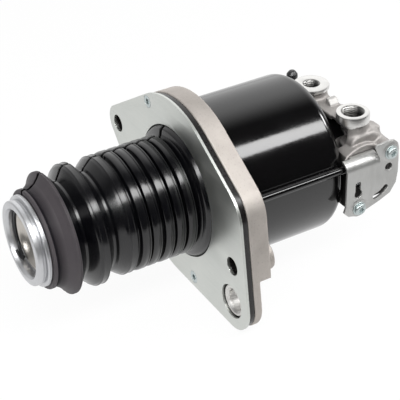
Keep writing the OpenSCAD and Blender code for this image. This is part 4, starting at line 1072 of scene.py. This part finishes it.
def bracket_sheets():
    """The bracket's flat face, its rolled edge and the lip behind it, as shapes."""
    half, edge = BRACKET_T / 2, 0.3
    roll_r, back = 7.2, CAN_REAR_X - 1.5
    roll_y, roll_z = BRACKET_Y + BRACKET_T - roll_r, PIPE[1] - 0.3
    left, right = PORT_X - 6.6, PORT_X + 20.7
    front, top = BRACKET_Y + BRACKET_T, roll_z + roll_r
    section = polygon_section(bracket_face(left, right, roll_z))

    def flat(x, y, z):
        across = np.broadcast_to(section(x, z), np.broadcast(x, y, z).shape)
        return edged(across, np.abs(y - BRACKET_Y - half) - half, edge)

    def roll(x, y, z):
        gap_y, gap_z = y - roll_y, z - roll_z
        shell = np.abs(np.hypot(gap_y, gap_z) - roll_r + half) - half
        quarter = np.maximum(-gap_y, -gap_z)
        return edged(np.maximum(shell, quarter), np.abs(x - (left + right) / 2) - (right - left) / 2, edge)

    return (
        (flat, (-142, BRACKET_Y, -25), (-94, front, 34)),
        (roll, (left, roll_y, roll_z), (right, front, top)),
        block((left, 56.4, top - BRACKET_T), (back, roll_y + 0.5, top), edge),
    )


def make_bracket():
    """The sheet bracket with its rolled edge, its raised screw pads, holes and slots."""
    low, high, edge = BRACKET_Y - 3.5, BRACKET_Y + 6.5, 0.36
    field = Field((-143, 55, -26), (-94, 67.4, 38), 0.4)
    flat, roll, lip = bracket_sheets()
    field.add(flat)
    field.add(roll, 0.3)
    field.add(lip, 0.3)
    for place in BRACKET_SCREWS:
        field.add(bar("y", BRACKET_Y + 1, BRACKET_Y + 2.4, place, 6.5, 0.25), 0.8)
        field.cut(bar("y", low, high, place, SCREW_HOLE_R))
    key_x, key_low, key_high, key_r = PORT_X + 11.1, RELAY_Z - 8.8, RELAY_Z - 1, 2.2
    holes = [(PORT_X - 14.3, RELAY_Z + 5.2, 2.9), (key_x - 0.4, key_low, 3.1), (key_x, key_high, key_r)]
    for x, z, r in holes:
        field.cut(bar("y", low, high, (x, z), r), edge)
    field.cut(block((key_x - key_r, low, key_low), (key_x + key_r, high, key_high)), edge)
    for a in np.radians(np.arange(222, 258.1, 1.5)):
        place = (PORT_X - 0.5 + 16.3 * math.cos(a), RELAY_Z + 16.3 * math.sin(a))
        field.cut(bar("y", low, high, place, 2.0))
    piece("bracket_form", field.mesh(), "housing", "bracket_sheet", ["bracket"], sharp=50)


def make_nose():
    """The machined nose ring, with the bellows' seat and a groove in its mouth."""
    rear, groove_r, shaft_r = 79.1, 24.0, 21.6
    groove_rear, groove_front, front_r = 109.6, 112.3, 29.3
    profile = [
        (rear, TUBE_R), (rear, 25.2, 0.4), (100.3, 25.6, 0.3), (100.3, 28.6, 0.3), (101.2, BEAD_SEAT_R, 0.3),
        (BEAD_FRONT_X, BEAD_SEAT_R, 0.2), (BEAD_FRONT_X, NOSE_R, 0.6), (109.2, NOSE_R, 0.15),
        (109.4, NOSE_R - 0.25, 0.1), (109.8, NOSE_R - 0.25, 0.1), (110.0, NOSE_R, 0.15), (111.3, NOSE_R, 0.9),
        (111.3, 28.1, 0.4), (113.1, 28.1, 0.4), (113.1, front_r, 0.6), (NOSE_X - 0.2, front_r, 1.3),
        (NOSE_X, 26.0, 0.3), (NOSE_X - 0.15, 25.8, 0.2), (NOSE_X - 0.1, 24.5, 0.15),
        (NOSE_X - 2.4, 23.4, 0.3), (groove_front, 23.2, 0.2), (groove_front, groove_r, 0.2),
        (groove_rear, groove_r, 0.2), (groove_rear, shaft_r, 0.2), (CUP_REAR_X, shaft_r, 0.2),
        (CUP_REAR_X, TUBE_R, 0.2),
    ]
    turned_piece("nose_ring_turned", profile, 4, 224, "push_rod", "machined_ring", "nose_ring")


def make_cup():
    """The polished cup, whose wide lip leads down to the ball's socket."""
    wall_x, floor_x, lip_x = CUP_X - 5, CUP_X - 9.5, CUP_X + 2.4
    body_r, ball_r, steps = 20.4, 12.6, 12
    cup = [
        (CUP_REAR_X, 0), (CUP_REAR_X, body_r - 0.6), (CUP_REAR_X + 0.6, body_r), (lip_x - 2.2, body_r),
        (lip_x - 2.0, 21.3), (lip_x - 0.3, 21.3), (lip_x, 21.0), (lip_x, 20.2), (lip_x - 0.4, 19.6),
        (lip_x - 1.9, 18.8), (lip_x - 3.6, 17.5), (lip_x - 5.2, 15.8), (lip_x - 6.4, 14.2), (wall_x, 13.3),
        (wall_x - 0.4, 13.05), (floor_x, 13.0), (floor_x, ball_r),
    ]
    for k in range(1, steps):
        a = math.radians(90 * k / steps)
        cup.append((floor_x - ball_r * math.sin(a), ball_r * math.cos(a)))
    cup.append((floor_x - ball_r, 0))
    piece("ball_cup_form", loft(cup, even_angles(160)), "push_rod", "polished_cup", ["ball_cup"])


def make_clip():
    """The wire clip in the mouth's groove, whose end turns back in a hairpin."""
    radius, x, wire = 22.3, 111.2, 1.1
    turns = [(0, radius, a) for a in np.linspace(-32, 212, 130)]
    turns += [(0.4, 22.0, 217), (0.9, 21.2, 226), (1.1, 20.5, 236), (1.2, 20.3, 243)]
    turns += [(1.8, 20.7, 245), (2.4, 21.2, 241), (2.9, 21.7, 233), (3.2, 22.0, 224)]
    path = [(x + dx, r * math.cos(math.radians(a)), r * math.sin(math.radians(a))) for dx, r, a in turns]
    piece("cup_clip_wire", tube(path, wire, 14), "push_rod", "dark_spring", ["cup_clip"])


def wide_crest(x, r, half):
    """Crest of a wide fold: a band between two fine ridges."""
    ridge, dip = 0.45, 0.3
    line = [(x + half + 0.3, r - 0.5, 0.3), (x + half, r, 0.12), (x + half - ridge, r, 0.12)]
    line += [(x + half - ridge - 0.2, r - dip, 0.1), (x - half + ridge + 0.2, r - dip, 0.1)]
    return line + [(x - half + ridge, r, 0.12), (x - half, r, 0.12), (x - half - 0.3, r - 0.5, 0.3)]


def narrow_crest(x, r, half):
    """Crest of a narrow fold: a full shoulder in front, and a fine ridge behind a fine line."""
    front, rear = x + half + 1.1, x - half - 1.0
    return [
        (front, r - 2.6, 0.5), (front - 0.3, r - 0.8, 1.3), (x + 0.8, r, 4.0), (rear + 1.9, r - 0.15, 0.5),
        (rear + 1.7, r - 0.5, 0.1), (rear + 1.5, r - 0.5, 0.1), (rear + 1.3, r - 0.1, 0.1),
        (rear + 0.4, r - 0.15, 0.3), (rear, r - 0.9, 0.3), (rear - 0.1, r - 2.6, 0.5),
    ]


def bellows_outline():
    """Outer line of the bellows from the front bead to the cuff, as (along, radius, corner radius)."""
    line = [
        (BEAD_FRONT_X - 0.3, BEAD_SEAT_R + 0.4, 0.2), (BEAD_FRONT_X - 0.3, BEAD_R - 0.7, 0.5),
        (BEAD_FRONT_X - 1.1, BEAD_R, 0.6), (BEAD_REAR_X + 1.6, BEAD_R, 0.5),
        (BEAD_REAR_X + 0.9, BEAD_R - 0.8, 0.4), (BEAD_REAR_X - 1.2, BEAD_R - 0.2, 1.5),
        (98.6, 36.6, 3.0), (95.6, 39.9, 3.0),
    ]
    for n, (x, r, half, valley_x, valley_r) in enumerate(CRESTS):
        if 0 < n < WIDE_FOLDS:
            line += [(x + half + 1.9, r - 1.3, 3.0)]
        line += (wide_crest if n < WIDE_FOLDS else narrow_crest)(x, r, half)
        if n < WIDE_FOLDS - 1:
            line += [(valley_x + 2.2, valley_r + 1.9, 1.8), (valley_x + 1.0, valley_r, 0.6)]
            line += [(valley_x - 1.0, valley_r, 0.6), (valley_x - 2.2, valley_r + 1.9, 1.8)]
        else:
            line += [(valley_x + 0.35, valley_r, 0.3), (valley_x - 0.35, valley_r, 0.3)]
    skirt = [(3.4, 42.4, 0.8), (2.2, 45.9, 2.5), (-0.6, 47.5, 0.8), (-1.6, 47.3, 0.3), (-1.6, CUFF_R, 0.3)]
    cuff = [(2.6, CUFF_R, 0.5), (2.6, CUFF_R - 2, 0.3), (0.3, CUFF_R - 2, 0.3)]
    return line + skirt + [(FLANGE_X + dx, r, corner_r) for dx, r, corner_r in cuff]


def bellows_inner():
    """Inner line of the bellows, from the cuff to the front bead."""
    line = [(FLANGE_X + 0.3, CUFF_BORE_R, 0.3), (1.2, CUFF_BORE_R, 0.8)]
    for x, r, _, valley_x, valley_r in reversed(CRESTS):
        line += [(valley_x, valley_r - RUBBER_T, 1.5), (x, r - RUBBER_T - 0.4, 1.5)]
    return line + [(99.5, 33.2, 1.5), (BEAD_REAR_X - 1.0, BEAD_SEAT_R + 0.4, 0.6)]


def make_bellows():
    """The rubber bellows, with its mould seams cut into each fold."""
    angles = seamed_angles(220)
    gap = np.abs((angles - SEAM_ANGLE + math.pi / 2) % math.pi - math.pi / 2)
    groove = 1.5 * np.clip((math.radians(2.6) - gap) / math.radians(1.3), 0, 1)
    rings = [(x, r - groove * (-3 < x < 101)) for x, r in softened(bellows_outline(), 4)]
    rings += softened(bellows_inner(), 3)
    points, faces = loft(rings, angles)
    obj = piece("boot_bellows", (points, faces), None, "boot_rubber", ["boot"])
    station = obj.data.attributes.new(REST_STATION, "FLOAT", "POINT")
    station.data.foreach_set("value", (points[:, 0] * MM).astype(np.float32))
    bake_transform(obj)


def coil(start, length, radius, turns, wire, axis, centre):
    """Path of a coil spring along an axis, with its end turns closed."""
    steps = int(turns * 28)
    path = []
    for i in range(steps + 1):
        t = i / steps
        a = 2 * math.pi * turns * t
        path.append((start + wire + (length - 2 * wire) * t, radius * math.cos(a), radius * math.sin(a)))
    local = np.array(path)
    return placed(local[:, 0], local[:, 1], local[:, 2], axis, centre)


def make_spring(node, turns, axis, centre, bodies, wire):
    """A coil spring in its node's place, between two bodies."""
    low, high = cad_corners(node)
    n = "xyz".index(axis)
    across = 1 if n != 1 else 0
    radius = (high[across] - low[across]) / 2 - wire
    path = coil(low[n], high[n] - low[n], radius, turns, wire, axis, centre)
    obj = piece(f"{node}_coil", tube(path, wire, 10), None, "dark_spring", [node])
    start, end = [0.0, 0.0, 0.0], [0.0, 0.0, 0.0]
    start[n], end[n] = float(low[n] + wire * 2) * MM, float(high[n] - wire * 2) * MM
    if bodies[0] != "housing":
        start, end = end, start
        bodies = bodies[::-1]
    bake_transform(obj)


def make_bleed_screw():
    """The bleed screw with its hexagon and its nipple."""
    angles = even_angles(72)
    hexagon = 4.4 / np.cos((angles % (math.pi / 3)) - math.pi / 6)
    low, high = cad_corners("bleed_screw")
    foot, top, shaft_r, bore_r = low[2], high[2], 3.9, 0.8
    rings = [
        (foot, 0), (foot, 1.2), (foot + 2.5, 3.4), (foot + 4, shaft_r), (30.0, shaft_r),
        (30.05, hexagon * 0.97), (30.5, hexagon), (34.6, hexagon), (35.0, hexagon * 0.93), (35.02, 3.4),
        (36.2, 2.4), (38.4, 2.4), (39.0, 2.9), (39.6, 3.0), (top - 0.5, 1.7), (top, 1.2), (top, bore_r),
        (top - 4, bore_r), (top - 4.3, 0),
    ]
    form = loft(rings, angles, "z", (*BLEED, 0))
    piece("bleed_screw_form", form, "bleed_screw", "bleed_brass", ["bleed_screw"])


def make_bleed_cap():
    """The rubber cap on the bleed screw's nipple."""
    low, high = cad_corners("bleed_cap")
    base, top = low[2], high[2]
    profile = [
        (base, 3.2, 0.3), (base, 3.7, 0.4), (base + 0.9, 3.75, 0.3), (base + 1.4, 3.3, 0.4),
        (base + 2.6, 3.3, 1.0), (base + 5.0, 4.2, 2.0), (base + 7.4, 4.1, 2.0), (top - 0.3, 2.2, 1.2),
        (top, 1.0, 0.3), (top, 0), (top - 3.2, 0), (top - 3.2, 2.4, 0.3), (base + 4.0, 2.9, 0.3),
        (base + 0.6, 2.66, 0.2),
    ]
    turned_piece("bleed_cap_form", profile, 5, 72, "bleed_cap", "cap_rubber", "bleed_cap", "z", (*BLEED, 0))


def dress_frame():
    """Gives each CAD node that still shows the look of its slot."""
    slots = {s["node"]: s["material_slot"] for s in frame["record"]["subparts"]}
    for node, obj in frame["nodes"].items():
        for holder in obj.material_slots:
            holder.material = LOOKS[slots[node]]


def make_camera():
    """The camera at the photograph's viewing angle, fitted to the photograph."""
    back = Vector((0.40732, 0.72603, 0.55405)).normalized()
    right = Vector((-0.86242, 0.50540, -0.02826))
    right = (right - back * right.dot(back)).normalized()
    data = bpy.data.cameras.new("camera")
    data.sensor_width = 36.0
    data.lens = data.sensor_width * 1252.28 / 400
    data.clip_start, data.clip_end = 0.05, 20.0
    camera = linked("camera", data)
    turn = Matrix((right, back.cross(right), back)).transposed().to_4x4()
    camera.matrix_world = Matrix.Translation(Vector((0.33968, 0.63874, 0.47313))) @ turn
    bpy.context.scene.camera = camera
    bpy.context.scene.view_settings.view_transform = "Standard"


def seen_ray(tree):
    """One for camera, mirror and glass rays, and zero for rays that only carry light."""
    path = add_node(tree, "ShaderNodeLightPath").outputs
    seen = path["Is Camera Ray"]
    for kind in ("Is Glossy Ray", "Is Transmission Ray"):
        seen = add_node(tree, "ShaderNodeMath", {0: seen, 1: path[kind]}, operation="MAXIMUM").outputs[0]
    return seen


def ramp(tree, value, low, high, to_low, to_high):
    """A value's range mapped smoothly to another."""
    inputs = {"Value": value, "From Min": low, "From Max": high, "To Min": to_low, "To Max": to_high}
    return add_node(tree, "ShaderNodeMapRange", inputs, interpolation_type="SMOOTHSTEP").outputs["Result"]


def show_mix(tree, share, first, second, output):
    """Mixes two shaders and shows the result on an output."""
    mixed = add_node(tree, "ShaderNodeMixShader", {0: share, 1: first.outputs[0], 2: second.outputs[0]})
    add_node(tree, output, {"Surface": mixed.outputs[0]})


def make_world():
    """White behind the object, and a pale backdrop on its far side that fades to a dark room in front."""
    world = bpy.data.worlds.new("studio")
    bpy.context.scene.world = world
    tree = cleared_tree(world)
    place = add_node(tree, "ShaderNodeTexCoord").outputs["Generated"]
    parts = add_node(tree, "ShaderNodeSeparateXYZ", {0: place}).outputs
    backdrop = ramp(tree, parts["Y"], 0.0, -0.6, 0.03, 1.3)
    front = ramp(tree, parts["X"], -0.3, 0.7, 1.0, 0.35)
    level = add_node(tree, "ShaderNodeMath", {0: backdrop, 1: front}, operation="MULTIPLY").outputs[0]
    room = add_node(tree, "ShaderNodeBackground", {"Color": WHITE, "Strength": level})
    white = add_node(tree, "ShaderNodeBackground", {"Color": WHITE, "Strength": 1.0})
    seen = add_node(tree, "ShaderNodeLightPath").outputs["Is Camera Ray"]
    show_mix(tree, seen, room, white, "ShaderNodeOutputWorld")


def make_floor():
    """A plain pale floor under the lowest point, which shows white and keeps a faint shadow."""
    height = cad_box[0][2] - 0.0006
    half, front = 4.0, 0.36
    corners = [(-half, -half, height), (half, -half, height), (half, front, height), (-half, front, height)]
    data = bpy.data.meshes.new("floor")
    data.from_pydata(corners, [], [(0, 1, 2, 3)])
    material = bpy.data.materials.new("floor_paper")
    tree = cleared_tree(material)
    paper = add_node(tree, "ShaderNodeBsdfDiffuse", {"Color": (0.86, 0.86, 0.86)})
    glow = add_node(tree, "ShaderNodeEmission", {"Color": WHITE, "Strength": 1.0})
    share = add_node(tree, "ShaderNodeMath", {0: seen_ray(tree), 1: 0.95}, operation="MULTIPLY").outputs[0]
    show_mix(tree, share, paper, glow, "ShaderNodeOutputMaterial")
    data.materials.append(material)
    floor = linked("floor", data)


def make_lamp(name, direction, distance, size, power):
    """A soft rectangular lamp that looks at the object from a direction."""
    data = bpy.data.lights.new(name, "AREA")
    data.shape = "RECTANGLE"
    data.size, data.size_y = size
    data.energy = power
    way = Vector(direction).normalized()
    across = (Vector((1, 0, 0)) - way * way.x).normalized()
    turn = Matrix((across, way.cross(across), way)).transposed().to_4x4()
    linked(name, data).matrix_world = Matrix.Translation(Vector((-0.02, 0, 0)) + way * distance) @ turn


make_plates()
make_flange()
make_can()
make_pipe()
make_cover_screws(even_angles(96))
make_bracket_screws(even_angles(96))
make_sleeve()
make_housing()
make_port("air_port_ring", AIR_PORT)
make_port("hydraulic_port_ring", HYD_PORT)
make_bracket()
make_nose()
make_cup()
make_clip()
make_bellows()
make_bleed_screw()
make_bleed_cap()
make_spring("return_spring", 5, "x", (0, 0, 0), ("push_rod", "housing"), 1.75)
make_spring("relay_spring", 3, "y", (PORT_X, 0, RELAY_Z), ("relay_piston", "housing"), 0.45)
make_spring("inlet_spring", 3, "y", (PORT_X, 0, RELAY_Z), ("inlet_valve", "housing"), 0.4)
dress_frame()
make_camera()
make_world()
make_floor()
make_lamp("softbox", (0.1, 0.54, 0.83), 1.0, (2.6, 0.3), 25)
make_lamp("rear_card", (-0.86, 0.16, 0.49), 1.1, (0.24, 0.24), 3.0)
